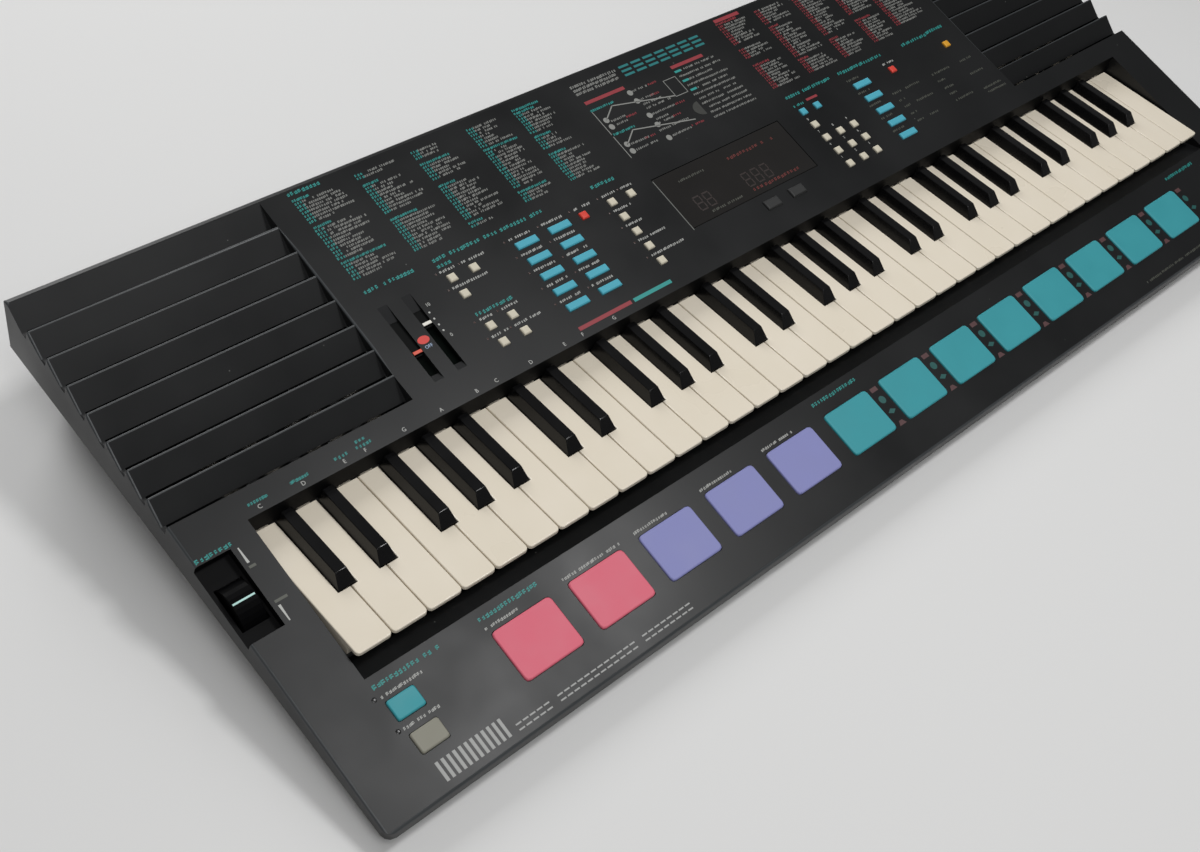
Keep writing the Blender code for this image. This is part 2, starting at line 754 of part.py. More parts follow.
def tray_mesh(name, inset, bottom, above_seam):
    bm = bmesh.new()
    front = FRONT_Y + inset / math.cos(FRONT_UNDERCUT)
    ends = ((front, math.tan(FRONT_UNDERCUT)), (REAR_Y - inset, 0))
    add_rings(bm, [tray_ring(y, inset, bottom, seam_z(y) + above_seam, lean) for y, lean in ends])
    corners = []
    for edge in bm.edges:
        a, b = [vert.co for vert in edge.verts]
        if a.y < 0 and b.y < 0 and abs(a.z - b.z) > SEAM:
            corners.append(edge)
    radius = CORNER_RADIUS - inset
    bmesh.ops.bevel(bm, geom=corners, offset=radius, segments=3, profile=0.5, affect="EDGES")
    return finished(bm, name)


def feet_mesh():
    inset = 0.025
    front_x = HALF_WIDTH - inset
    rear_x = HALF_WIDTH - 2 * inset
    places = [(-front_x, FRONT_Y + inset), (front_x, FRONT_Y + inset), (0, FRONT_Y + inset)]
    places += [(-rear_x, REAR_Y - inset), (rear_x, REAR_Y - inset)]
    shapes = [(circle(place, FOOT_RADIUS, 16), 0, FOOT_HEIGHT + WALL / 2) for place in places]
    return prisms("feet", shapes, along_z)


def bay_outline(margin):
    return centred(0, BAY_Y, BAY_WIDTH + 2 * margin, BAY_LENGTH + 2 * margin)


def lower_posts_mesh():
    """Screw posts, and the posts under the key frame."""
    start = FLOOR_TOP - WALL / 2
    shapes = []
    for x, y in screw_posts():
        shapes.append((circle((x, y), POST_RADIUS, 12), start, seam_z(y) + SCREW_SEAT - SEAM))
    top = FRAME_TOP - FRAME_PLATE - SEAM
    frame_rows = (KEY_FRONT_Y + FRAME_SETBACK + POST_RADIUS, PIVOT_Y)
    for x in FRAME_POSTS:
        for y in frame_rows:
            shapes.append((circle((x, y), POST_RADIUS, 12), start, top))
    return prisms("lower_posts", shapes, along_z)


def screw_holes_mesh():
    shapes = []
    for x, y in screw_posts():
        shapes.append((circle((x, y), SCREW_RADIUS, 8), -WALL, seam_z(y) - SCREW_SEAT / 2))
    return prisms("screw_holes", shapes, along_z)


def socket_block_mesh():
    rear = REAR_Y - WALL / 2
    low, high = SOCKET_BLOCK
    outline = rectangle(low, high, rear - SOCKET_BLOCK_LENGTH, rear)
    top = SOCKET_HEIGHT + 0.010
    return prisms("socket_block", [(outline, FLOOR_TOP - WALL / 2, top)], along_z)


def sockets_mesh():
    """Blind round holes in the rear wall."""
    bm = bmesh.new()
    for x, radius in SOCKETS:
        outline = circle((x, SOCKET_HEIGHT), radius, 16)
        add_prism(bm, outline, REAR_Y - SOCKET_DEPTH, REAR_Y + WALL, lambda a, b, t: (a, t, b))
    return finished(bm, "sockets")


def build_lower_case(case, finish):
    lower = piece("lower_case", tray_mesh("lower_case", 0, FOOT_HEIGHT, -SEAM), finish, case)
    boolean(lower, "DIFFERENCE", tool("tray_space", tray_mesh("tray_space", WALL, FLOOR_TOP, 2 * WALL), case))
    wall = 2 * BAY_LEDGE
    box = [(bay_outline(wall), FLOOR_TOP - WALL / 2, FLOOR_TOP + BAY_HEIGHT + BAY_LEDGE)]
    boolean(lower, "UNION", tool("bay_walls", prisms("bay_walls", box, along_z), case))
    boolean(lower, "UNION", tool("socket_block", socket_block_mesh(), case))
    boolean(lower, "UNION", tool("lower_posts", lower_posts_mesh(), case))
    boolean(lower, "UNION", tool("feet", feet_mesh(), case))
    space = [(bay_outline(0), FOOT_HEIGHT - WALL, FLOOR_TOP + BAY_HEIGHT)]
    boolean(lower, "DIFFERENCE", tool("bay_space", prisms("bay_space", space, along_z), case))
    mouth = [(bay_outline(BAY_LEDGE), FOOT_HEIGHT - WALL, FLOOR_TOP)]
    boolean(lower, "DIFFERENCE", tool("bay_mouth", prisms("bay_mouth", mouth, along_z), case))
    boolean(lower, "DIFFERENCE", tool("screw_holes", screw_holes_mesh(), case))
    boolean(lower, "DIFFERENCE", tool("sockets", sockets_mesh(), case))


def door_hinge():
    """Front lower edge of the battery door."""
    return (0, BAY_Y - BAY_LENGTH / 2 - BAY_LEDGE + 2 * DOOR_GAP, FOOT_HEIGHT + DOOR_GAP / 2)


def build_battery_door(case, finish):
    hinge = door_hinge()
    front = BAY_Y - BAY_LENGTH / 2 - BAY_LEDGE + DOOR_GAP - hinge[1]
    rear = BAY_Y + BAY_LENGTH / 2 + BAY_LEDGE - DOOR_GAP - hinge[1]
    half = BAY_WIDTH / 2 + BAY_LEDGE - DOOR_GAP
    bottom = FOOT_HEIGHT - hinge[2]
    top = bottom + DOOR_THICKNESS
    plate = prisms("battery_door", [(rectangle(-half, half, front, rear), bottom, top)], along_z)
    door = piece("battery_door", plate, finish, case, hinge)
    groove_count = 5
    groove = 0.0012
    shapes = []
    for i in range(groove_count):
        y = rear - GRIP_INSET - 3 * groove * i
        shapes.append((centred(0, y, GRIP_WIDTH, groove), bottom - groove, bottom + groove / 2))
    grooves = tool("door_grip", prisms("door_grip", shapes, along_z), case, hinge)
    boolean(door, "DIFFERENCE", grooves)


# Key action

def frame_outline():
    """Plate, down stop, and the pivot bead on its web, as one side outline."""
    top = FRAME_TOP
    low = top - FRAME_PLATE
    front = KEY_FRONT_Y + FRAME_SETBACK
    rear = PIVOT_Y + POST_RADIUS
    web = BEAD_RADIUS / 2
    stop_front = KEY_FRONT_Y + STOP_REACH
    stop_rear = stop_front + STOP_LENGTH
    dip = (PIVOT_REACH - STOP_REACH) * math.tan(KEY_TRAVEL)
    stop_top = KEY_BOTTOM - dip - SEAM
    spread = math.asin(web / BEAD_RADIUS)
    start = -math.pi / 2 + spread
    bead = arc((PIVOT_Y, PIVOT_Z), BEAD_RADIUS, start, start + math.tau - 2 * spread, 14)
    return [
        (front, low),
        (rear, low),
        (rear, top),
        (PIVOT_Y + web, top),
        *bead,
        (PIVOT_Y - web, top),
        (stop_rear, top),
        (stop_rear, stop_top),
        (stop_front, stop_top),
        (stop_front, top),
        (front, top),
    ]


def guide_posts_mesh():
    """A blade that stands up into the hollow of each white key."""
    dip = (PIVOT_REACH - GUIDE_REACH) * math.tan(KEY_TRAVEL)
    top = KEY_TOP - KEY_PLATE - dip - 2 * SEAM
    shapes = []
    for i in range(WHITE_KEYS):
        y = KEY_FRONT_Y + GUIDE_REACH + GUIDE_LENGTH / 2
        outline = centred(white_x(i), y, GUIDE_WIDTH, GUIDE_LENGTH)
        shapes.append((outline, FRAME_TOP - FRAME_PLATE / 2, top))
    return prisms("guide_posts", shapes, along_z)


def build_key_frame(case, finish, board_finish):
    half = OPENING_HALF - 2 * SEAM
    frame = piece("key_frame", prisms("key_frame", [(frame_outline(), -half, half)], along_x), finish, case)
    boolean(frame, "UNION", tool("guide_posts", guide_posts_mesh(), case))
    smooth(frame.data)
    start = KEY_FRONT_Y + CONTACT_BOARD_REACH
    low = FRAME_TOP + SEAM
    outline = rectangle(-half, half, start, start + CONTACT_BOARD_LENGTH)
    board = prisms("key_contact_board", [(outline, low, low + BOARD_THICKNESS)], along_z)
    piece("key_contact_board", board, board_finish, case)


def white_x(index):
    """Middle of a white key, counted from the left."""
    return (index - (WHITE_KEYS - 1) / 2) * KEY_PITCH


def black_after(note):
    """Middle of the black key right of a white key, from that white key's middle."""
    return KEY_PITCH / 2 + BLACK_OFFSETS[note]


def white_neck(note, is_last):
    """Left and right edge of a white key beside the black keys, from its own middle."""
    edge = (KEY_PITCH - KEY_GAP) / 2
    room = BLACK_WIDTH / 2 + SIDE_CLEARANCE
    before = WHITE_NOTES[WHITE_NOTES.index(note) - 1]
    left = -edge
    if before in BLACK_OFFSETS and note != "C":
        left = black_after(before) - KEY_PITCH + room
    right = edge
    if note in BLACK_OFFSETS and not is_last:
        right = black_after(note) - room
    return left, right


def hook_outline():
    """Ring that clips over the pivot bead, open at the bottom, about the pivot."""
    inner = BEAD_RADIUS + HOOK_CLEARANCE
    outer = inner + HOOK_WALL
    start = -math.pi / 2 + HOOK_OPENING / 2
    end = start + math.tau - HOOK_OPENING
    return arc((0, 0), outer, start, end, 7) + arc((0, 0), inner, end, start, 5)


def arm_and_hook_meshes(x, width, reach):
    """Flat arm from the key's body to the pivot, and the hook, both about the pivot."""
    bottom = PIVOT_DROP - ARM_THICKNESS
    arm = rectangle(reach - PIVOT_REACH, 0, bottom, bottom + WHITE_ARM_THICKNESS)
    low = x - width / 2
    high = x + width / 2
    hook = prisms("hook", [(hook_outline(), low + SEAM, high - SEAM)], along_x)
    return prisms("arm", [(arm, low, high)], along_x), hook


def white_body_mesh(note, is_last):
    """Hollow key body with a thin overhanging lip in front, about the pivot."""
    left, right = white_neck(note, is_last)
    edge = (KEY_PITCH - KEY_GAP) / 2
    notch = BLACK_START - SIDE_CLEARANCE - PIVOT_REACH
    front = -PIVOT_REACH
    lip = front + KEY_LIP
    rear = KEY_LENGTH - PIVOT_REACH
    radius = KEY_CORNER
    points = arc((-edge + radius, front + radius), radius, math.pi, 1.5 * math.pi, 3)
    points += arc((edge - radius, front + radius), radius, 1.5 * math.pi, math.tau, 3)
    points.append((edge, lip))
    if right < edge:
        points += [(edge, notch), (right, notch)]
    points += [(right, rear), (left, rear)]
    if left > -edge:
        points += [(left, notch), (-edge, notch)]
    points.append((-edge, lip))
    bm = bmesh.new()
    top = PIVOT_DROP
    under = [bm.verts.new((x, y, top - KEY_PLATE)) for x, y in points]
    over = [bm.verts.new((x, y, top)) for x, y in points]
    bm.faces.new(over)
    for i in range(len(points)):
        j = (i + 1) % len(points)
        bm.faces.new((under[i], under[j], over[j], over[i]))
    lip_ends = [points.index((edge, lip)), points.index((-edge, lip))]
    bm.faces.new(under[: lip_ends[0] + 1] + [under[lip_ends[1]]])
    body = bm.faces.new(under[lip_ends[0] : lip_ends[1] + 1])
    bmesh.ops.recalc_face_normals(bm, faces=bm.faces)
    bottom = extruded_down(bm, body, KEY_HEIGHT - KEY_PLATE)
    bmesh.ops.inset_region(bm, faces=[bottom], thickness=KEY_WALL, use_even_offset=True)
    extruded_down(bm, bottom, KEY_PLATE - KEY_HEIGHT)
    return finished(bm, "white_key")


def extruded_down(bm, face, depth):
    """Extrudes one face downwards, or upwards for a negative depth, and returns its moved copy."""
    result = bmesh.ops.extrude_face_region(bm, geom=[face])
    if face.is_valid:
        bm.faces.remove(face)
    verts = [item for item in result["geom"] if isinstance(item, bmesh.types.BMVert)]
    faces = [item for item in result["geom"] if isinstance(item, bmesh.types.BMFace)]
    bmesh.ops.translate(bm, verts=verts, vec=(0, 0, -depth))
    return faces[0]


def white_key_mesh(note, is_last):
    left, right = white_neck(note, is_last)
    arm, hook = arm_and_hook_meshes((left + right) / 2, WHITE_ARM_WIDTH, KEY_LENGTH - 2 * KEY_WALL)
    body = tool("key_body", white_body_mesh(note, is_last), None)
    tools = [tool("key_arm", arm, None), tool("key_hook", hook, None)]
    for other in tools:
        boolean(body, "UNION", other)
    mesh = applied(body, tools)
    mesh.name = "white_key_" + note
    return mesh


def build_white_keys(case, finish):
    meshes = {}
    for i in range(WHITE_KEYS):
        note = WHITE_NOTES[i % len(WHITE_NOTES)]
        is_last = i == WHITE_KEYS - 1
        kind = (note, is_last)
        if kind not in meshes:
            meshes[kind] = white_key_mesh(note, is_last)
        octave = i // len(WHITE_NOTES) + 1
        name = f"white_key_{note.lower()}{octave}"
        piece(name, meshes[kind], finish, case, (white_x(i), PIVOT_Y, PIVOT_Z))


def black_finger(bm, x):
    """One black key: straight below the white tops, tapered above, with a sloping front."""
    half = BLACK_WIDTH / 2
    top_half = BLACK_TOP_WIDTH / 2
    base = PIVOT_DROP - KEY_HEIGHT
    level = PIVOT_DROP
    top = PIVOT_DROP + BLACK_HEIGHT
    front = BLACK_START - PIVOT_REACH
    rear = KEY_LENGTH - WALL_CLEARANCE - PIVOT_REACH
    section = [(-half, base), (half, base), (half, level)]
    section += [(top_half, top), (-top_half, top), (-half, level)]
    front_ring = [(x + a, front + (BLACK_SLOPE if z == top else 0), z) for a, z in section]
    rear_ring = [(x + a, rear, z) for a, z in section]
    add_rings(bm, [front_ring, rear_ring])


def black_comb_mesh():
    """The five black keys of an octave on one rail, about the pivot under the octave's C."""
    xs = [WHITE_NOTES.index(note) * KEY_PITCH + black_after(note) for note in BLACK_OFFSETS]
    fingers = bmesh.new()
    for x in xs:
        black_finger(fingers, x)
    comb = tool("comb", finished(fingers, "comb"), None)
    rail_low = PIVOT_DROP + COMB_RAIL_CLEARANCE
    rail_high = rail_low + COMB_RAIL_HEIGHT
    rail_front = KEY_LENGTH + WALL + COMB_RAIL_SETBACK - PIVOT_REACH
    rail_rear = rail_front + COMB_RAIL_LENGTH
    half = BLACK_ARM_WIDTH / 2
    start = KEY_LENGTH - 2 * KEY_WALL - PIVOT_REACH
    arm = [
        (start, PIVOT_DROP - ARM_THICKNESS),
        (0, PIVOT_DROP - ARM_THICKNESS),
        (0, PIVOT_DROP),
        (rail_rear - SEAM, PIVOT_DROP),
        (rail_rear - SEAM, rail_high - SEAM),
        (rail_front + SEAM, rail_high - SEAM),
        (rail_front + SEAM, PIVOT_DROP),
        (start, PIVOT_DROP),
    ]
    rail = rectangle(rail_front, rail_rear, rail_low, rail_high)
    arms = prisms("arms", [(arm, x - half, x + half) for x in xs], along_x)
    hooks = prisms("hooks", [(hook_outline(), x - half + SEAM, x + half - SEAM) for x in xs], along_x)
    bar = prisms("rail", [(rail, xs[0] - half - SEAM, xs[-1] + half + SEAM)], along_x)
    tools = [tool("comb_arms", arms, None), tool("comb_hooks", hooks, None), tool("comb_rail", bar, None)]
    for other in tools:
        boolean(comb, "UNION", other)
    mesh = applied(comb, tools)
    mesh.name = "black_keys"
    return mesh


def build_black_keys(case, finish):
    mesh = black_comb_mesh()
    for octave in range(OCTAVES):
        x = white_x(octave * len(WHITE_NOTES))
        piece(f"black_keys_octave{octave + 1}", mesh, finish, case, (x, PIVOT_Y, PIVOT_Z))


# Pads and buttons

def cap_mesh(name, caps, rise, radius):
    """Button caps from the web up through the panel, with chamfered top edges."""
    bm = bmesh.new()
    for x, distance, size in caps:
        base = cap_outline(x, distance, size, radius, 0)
        top = cap_outline(x, distance, size, radius, CAP_CHAMFER)
        levels = ((WEB_TOP - WEB_THICKNESS / 2, base), (rise - CAP_CHAMFER, base), (rise, top))
        add_rings(bm, [[(a, b, level) for a, b in outline] for level, outline in levels])
    return finished(bm, name)


def web_around(caps):
    """Rectangle under a group of caps."""
    low_x = min(x - size[0] / 2 for x, _, size in caps) - WEB_MARGIN
    high_x = max(x + size[0] / 2 for x, _, size in caps) + WEB_MARGIN
    low_y = min(y - size[1] / 2 for _, y, size in caps) - WEB_MARGIN
    high_y = max(y + size[1] / 2 for _, y, size in caps) + WEB_MARGIN
    return rectangle(low_x, high_x, low_y, high_y)


def left_web():
    """U-shaped web that passes behind the song memory buttons."""
    low = row(BUTTON_ROWS - 1) - SMALL_SIZE[1] / 2 - WEB_MARGIN
    strip = row(0) + OBLONG_SIZE[1] / 2 + 2 * WEB_MARGIN
    high = strip + 2 * WEB_MARGIN
    half = SMALL_SIZE[0] / 2 + WEB_MARGIN
    mode_left = MODE_X - half
    mode_right = MODE_X + SMALL_STEP + half
    effect_left = EFFECT_X - half
    effect_right = EFFECT_X + SMALL_STEP + half
    return [
        (mode_left, low),
        (mode_right, low),
        (mode_right, strip),
        (effect_left, strip),
        (effect_left, low),
        (effect_right, low),
        (effect_right, high),
        (mode_left, high),
    ]


def right_web():
    """Web under the keypad, with arms to the display keys and to the two single buttons."""
    low = row(BUTTON_ROWS - 1) - DISPLAY_KEY_SIZE[1] / 2 - WEB_MARGIN
    step = row(BUTTON_ROWS - 1) + DISPLAY_KEY_SIZE[1] / 2 + WEB_MARGIN / 2
    high = row(0) + OBLONG_SIZE[1] / 2 + WEB_MARGIN
    arm = row(0) - OBLONG_SIZE[1] / 2 - WEB_MARGIN
    left = DISPLAY_KEY_X[0] - DISPLAY_KEY_SIZE[0] / 2 - WEB_MARGIN
    keypad_left = KEYPAD_X - SMALL_SIZE[0] / 2 - WEB_MARGIN
    select_right = SELECT_X + OBLONG_SIZE[0] / 2 + WEB_MARGIN
    right = TUNE_BUTTON_X + SMALL_SIZE[0] / 2 + WEB_MARGIN
    return [
        (left, low),
        (select_right, low),
        (select_right, arm),
        (right, arm),
        (right, high),
        (keypad_left, high),
        (keypad_left, step),
        (left, step),
    ]


def build_button_group(name, caps, web, panel, finish, rise, radius):
    low = WEB_TOP - WEB_THICKNESS
    group = piece(name, prisms(name, [(web, low, WEB_TOP)], along_z), finish, panel)
    boolean(group, "UNION", tool(name + "_caps", cap_mesh(name, caps, rise, radius), panel))


def build_pads_and_buttons(panel, finishes):
    for name, caps in pad_groups().items():
        build_button_group(name, caps, web_around(caps), panel, finishes[name], PAD_RISE, PAD_RADIUS)
    for name, caps in button_groups().items():
        web = web_around(caps)
        if name == "left_function_buttons":
            web = left_web()
        elif name == "right_function_buttons":
            web = right_web()
        build_button_group(name, caps, web, panel, finishes[name], BUTTON_RISE, BUTTON_RADIUS)


# Panel fittings

def build_slider(name, x, mark, panel, finish):
    """Plate under the panel with a raised mark that stands in the slot."""
    half = SLIDER_WIDTH / 2
    top = -SLIDER_SKIN - SEAM
    rear = mark + SLIDER_LENGTH - MARK_LENGTH
    plate = rectangle(x - half, x + half, mark - MARK_LENGTH, rear)
    slider = piece(name, prisms(name, [(plate, top - SLIDER_THICKNESS, top)], along_z), finish, panel)
    ridge = centred(x, mark, SLOT_WIDTH - 2 * BUTTON_CLEARANCE, MARK_LENGTH)
    shape = [(ridge, top - SLIDER_THICKNESS / 2, MARK_RISE)]
    boolean(slider, "UNION", tool(name + "_mark", prisms(name + "_mark", shape, along_z), panel))


def build_display(panel, finish, board_finish):
    window = centred(DISPLAY_X, DISPLAY_DISTANCE, DISPLAY_WIDTH, DISPLAY_LENGTH)
    mesh = prisms("display_window", [(window, -DISPLAY_THICKNESS, 0)], along_z)
    piece("display_window", mesh, finish, panel)
    outline = centred(0, PANEL_BOARD_DISTANCE, PANEL_BOARD_WIDTH, PANEL_BOARD_LENGTH)
    low = -PANEL_BOARD_DEPTH - BOARD_THICKNESS
    board = prisms("panel_circuit_board", [(outline, low, -PANEL_BOARD_DEPTH)], along_z)
    piece("panel_circuit_board", board, board_finish, panel)


def build_pitch_wheel(panel, finish):
    """Part of a drum with a dished outer face, a hub and an axle stub, about its axle."""
    start = math.pi / 2 - WHEEL_SWEEP / 2
    end = math.pi / 2 + WHEEL_SWEEP / 2
    outline = arc((0, 0), WHEEL_RADIUS, start, end, 14)
    outline += arc((0, 0), WHEEL_HUB_RADIUS, math.radians(190), math.radians(350), 6)
    mesh = prisms("pitch_bend_wheel", [(outline, 0, WHEEL_WIDTH)], along_x)
    distance, height = wheel_axle()
    location = (wheel_left_x(), distance, height)
    wheel = piece("pitch_bend_wheel", mesh, finish, panel, location)
    bevel = wheel.modifiers.new("rounded edges", "BEVEL")
    bevel.limit_method = "ANGLE"
    bevel.angle_limit = math.radians(60)
    bevel.width = WHEEL_CHAMFER
    bevel.segments = 2
    axle = circle((0, 0), AXLE_RADIUS, 16)
    axle_mesh = prisms("axle", [(axle, WHEEL_WIDTH / 2, WHEEL_WIDTH + AXLE_LENGTH)], along_x)
    boolean(wheel, "UNION", tool("wheel_axle", axle_mesh, panel, location))
    bm = bmesh.new()
    rings = ((WHEEL_DISH_RADIUS, -WHEEL_DISH_DEPTH), (WHEEL_DISH_RADIUS / 2, WHEEL_DISH_DEPTH))
    add_rings(bm, [[(x, a, b) for a, b in circle((0, 0), radius, 24)] for radius, x in rings])
    boolean(wheel, "DIFFERENCE", tool("wheel_dish", finished(bm, "wheel_dish"), panel, location))


def turned(name, outline, segments):
    """Solid turned about Z from points (radius, height) that start and end on the axis."""
    bm = bmesh.new()
    verts = [bm.verts.new((radius, 0, height)) for radius, height in outline]
    edges = [bm.edges.new(pair) for pair in zip(verts, verts[1:])]
    bmesh.ops.spin(bm, geom=verts + edges, axis=(0, 0, 1), cent=(0, 0, 0), angle=math.tau, steps=segments)
    bmesh.ops.remove_doubles(bm, verts=bm.verts, dist=1e-6)
    return finished(bm, name)


def build_speakers(panel, finish):
    """Cone loudspeakers under the louvre ribs."""
    flange = 0.0015
    rim = SPEAKER_RADIUS - 0.002
    basket = SPEAKER_RADIUS - 0.006
    magnet = 0.027
    neck = 0.024
    outline = [
        (0, -0.010),
        (0.008, -0.0105),
        (0.013, -0.014),
        (rim - 0.004, -0.003),
        (rim, 0),
        (SPEAKER_RADIUS, 0),
        (SPEAKER_RADIUS, -flange),
        (basket, -flange),
        (neck, -0.020),
        (magnet, -0.020),
        (magnet, -SPEAKER_DEPTH),
        (0, -SPEAKER_DEPTH),
    ]
    mesh = turned("speaker", outline, SPEAKER_SEGMENTS)
    smooth(mesh)
    distance = (LOUVRE_FRONT + LOUVRE_REAR) / 2
    x = LOUVRE_INNER + LOUVRE_WIDTH / 2
    for name, side in (("left_speaker", -1), ("right_speaker", 1)):
        piece(name, mesh, finish, panel, (side * x, distance, -RIB_DEPTH - SEAM))


def main():
    for obj in list(bpy.data.objects):
        bpy.data.objects.remove(obj, do_unlink=True)
    charcoal = material("charcoal_case", (0.045, 0.047, 0.05), 0.45)
    underside = material("dark_underside", (0.02, 0.02, 0.022), 0.6)
    cream = material("cream_key", (0.74, 0.66, 0.54), 0.3)
    gloss_black = material("gloss_black_key", (0.008, 0.008, 0.009), 0.15)
    pink = material("pink_rubber", (0.56, 0.12, 0.17), 0.7)
    purple = material("purple_rubber", (0.22, 0.21, 0.47), 0.7)
    teal = material("teal_rubber", (0.05, 0.27, 0.34), 0.7)
    button_cream = material("cream_button", (0.62, 0.57, 0.45), 0.5)
    smoked = material("smoked_window", (0.02, 0.015, 0.017), 0.1)
    board_lacquer = material("circuit_board", (0.02, 0.03, 0.025), 0.4)
    frame_grey = material("frame_plastic", (0.2, 0.2, 0.2), 0.6)
    paper_black = material("speaker_cone", (0.015, 0.015, 0.016), 0.9)
    case = empty("case")
    panel = empty("panel", (0, FRONT_Y, FRONT_HEIGHT), PANEL_TILT)
    build_upper_case(case, panel, charcoal)
    build_lower_case(case, underside)
    build_battery_door(case, underside)
    build_key_frame(case, frame_grey, board_lacquer)
    build_white_keys(case, cream)
    build_black_keys(case, gloss_black)
    finishes = {
        "start_pads": pink,
        "fill_in_pads": purple,
        "percussion_pads": teal,
        "drummer_buttons": teal,
        "song_memory_buttons": teal,
        "left_function_buttons": button_cream,
        "right_function_buttons": button_cream,
    }
    build_pads_and_buttons(panel, finishes)
    build_slider("power_slider", POWER_X, POWER_MARK, panel, charcoal)
    build_slider("volume_slider", VOLUME_X, VOLUME_MARK, panel, charcoal)
    build_display(panel, smoked, board_lacquer)
    build_pitch_wheel(panel, gloss_black)
    build_speakers(panel, paper_black)


main()
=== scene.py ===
import json
import math
import random

import bmesh
import bpy
from bpy.props import FloatProperty, FloatVectorProperty, IntProperty, PointerProperty
from mathutils import Matrix, Vector

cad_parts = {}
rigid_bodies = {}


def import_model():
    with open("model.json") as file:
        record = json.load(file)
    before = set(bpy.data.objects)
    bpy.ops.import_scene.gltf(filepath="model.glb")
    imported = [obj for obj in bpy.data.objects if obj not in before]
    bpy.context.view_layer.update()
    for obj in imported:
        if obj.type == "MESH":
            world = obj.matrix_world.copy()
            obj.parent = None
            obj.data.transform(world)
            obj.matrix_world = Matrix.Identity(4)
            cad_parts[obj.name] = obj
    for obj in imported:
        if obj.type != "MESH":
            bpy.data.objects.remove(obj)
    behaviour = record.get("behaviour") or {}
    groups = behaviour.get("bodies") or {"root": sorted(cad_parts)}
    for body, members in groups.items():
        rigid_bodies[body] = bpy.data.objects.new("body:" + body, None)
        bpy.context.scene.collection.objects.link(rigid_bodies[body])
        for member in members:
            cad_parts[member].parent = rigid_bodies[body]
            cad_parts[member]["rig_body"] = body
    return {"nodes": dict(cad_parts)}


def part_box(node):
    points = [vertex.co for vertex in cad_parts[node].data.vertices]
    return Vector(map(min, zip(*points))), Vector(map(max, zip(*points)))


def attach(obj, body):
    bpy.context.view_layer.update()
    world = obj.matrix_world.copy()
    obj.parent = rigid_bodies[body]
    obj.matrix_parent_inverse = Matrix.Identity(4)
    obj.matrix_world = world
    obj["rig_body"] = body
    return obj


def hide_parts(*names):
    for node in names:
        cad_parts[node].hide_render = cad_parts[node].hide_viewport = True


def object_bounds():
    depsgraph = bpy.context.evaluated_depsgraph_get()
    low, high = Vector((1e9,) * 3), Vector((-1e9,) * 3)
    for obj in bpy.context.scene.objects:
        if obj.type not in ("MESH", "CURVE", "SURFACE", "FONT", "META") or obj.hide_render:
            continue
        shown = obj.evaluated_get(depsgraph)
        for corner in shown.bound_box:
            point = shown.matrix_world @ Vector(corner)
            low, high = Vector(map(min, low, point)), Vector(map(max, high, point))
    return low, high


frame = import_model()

bl_info = {
    "name": "Portable keyboard",
    "version": (1, 0, 0),
    "blender": (4, 5, 0),
    "location": "3D View > Sidebar > Keyboard",
    "description": "Dresses a table-top electronic keyboard with drum pads, louvres and panel printing",
    "category": "Object",
}

MM = 0.001
CAD_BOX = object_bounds()
TILT = math.radians(12.7)
FRONT_HEIGHT = 13.3 * MM
FRONT_Y = CAD_BOX[0].y
REAR_Y = CAD_BOX[1].y
KEY_TOP = 34 * MM
BLACK_TOP = KEY_TOP + 4 * MM
SLOT = "charcoal_case"

# Heights over the panel in millimetres: where a cap's top starts, and where its web ends
CAP_TOP = 0.2
WEB_END = -2.6

# Louvres, in millimetres
LOUVRE_SLATS = 8
LOUVRE_PITCH = 16.2
LOUVRE_RIM = 4.2
LOUVRE_INNER = 248

# A face this large counts as flat, and a smaller one follows it up to the angle of this cosine
LARGE_FACE = 12 * MM * MM
NEAR_COSINE = 0.77

# The panel's own frame: x across, y up the slope from the front edge, z above the surface
PANEL = Matrix.Translation((0, FRONT_Y, FRONT_HEIGHT)) @ Matrix.Rotation(TILT, 4, "X")
OFF_PANEL = PANEL.inverted()


# Places and meshes

def spot(x, y, height=0.0):
    """A point over the panel, from plan coordinates in millimetres."""
    return PANEL @ Vector((x * MM, (y * MM - FRONT_Y) / math.cos(TILT), height * MM))


def plan(point):
    """Plan coordinates in millimetres, and the height above the panel, of a point."""
    return point.x / MM, point.y / MM, (OFF_PANEL @ point).z / MM


def circle(x, y, radius, count=16):
    """Outline of a round mark."""
    turns = [math.tau * i / count for i in range(count)]
    return [(x + radius * math.cos(a), y + radius * math.sin(a)) for a in turns]


def slab(bm, outline, low, high):
    """A thin solid on the panel, from an outline that runs anticlockwise in millimetres."""
    under = [bm.verts.new(spot(x, y, low)) for x, y in outline]
    over = [bm.verts.new(spot(x, y, high)) for x, y in outline]
    count = len(outline)
    bm.faces.new(over)
    bm.faces.new(under[::-1])
    for i in range(count):
        j = (i + 1) % count
        bm.faces.new((under[i], under[j], over[j], over[i]))


def stroke(a, b, width):
    """Outline of a straight printed stroke from a to b."""
    run = Vector((b[0] - a[0], b[1] - a[1])).normalized() * width / 2
    side = Vector((-run.y, run.x))
    points = (a - run - side, b + run - side, b + run + side, a - run + side)
    return [(p.x, p.y) for p in points]


def lathed(bm, centre, axis, profile, count=24):
    """A closed ring or cup turned about an axis, from (distance along, radius) pairs."""
    axis = Vector(axis).normalized()
    across = axis.orthogonal().normalized()
    up = axis.cross(across)
    rings = []
    for i in range(count):
        turn = math.tau * i / count
        out = across * math.cos(turn) + up * math.sin(turn)
        rings.append([bm.verts.new(centre + axis * t + out * r) for t, r in profile])
    for i in range(count):
        here, there = rings[i], rings[(i + 1) % count]
        for k in range(len(profile)):
            n = (k + 1) % len(profile)
            bm.faces.new((here[k], here[n], there[n], there[k]))
    bmesh.ops.remove_doubles(bm, verts=bm.verts, dist=1e-7)


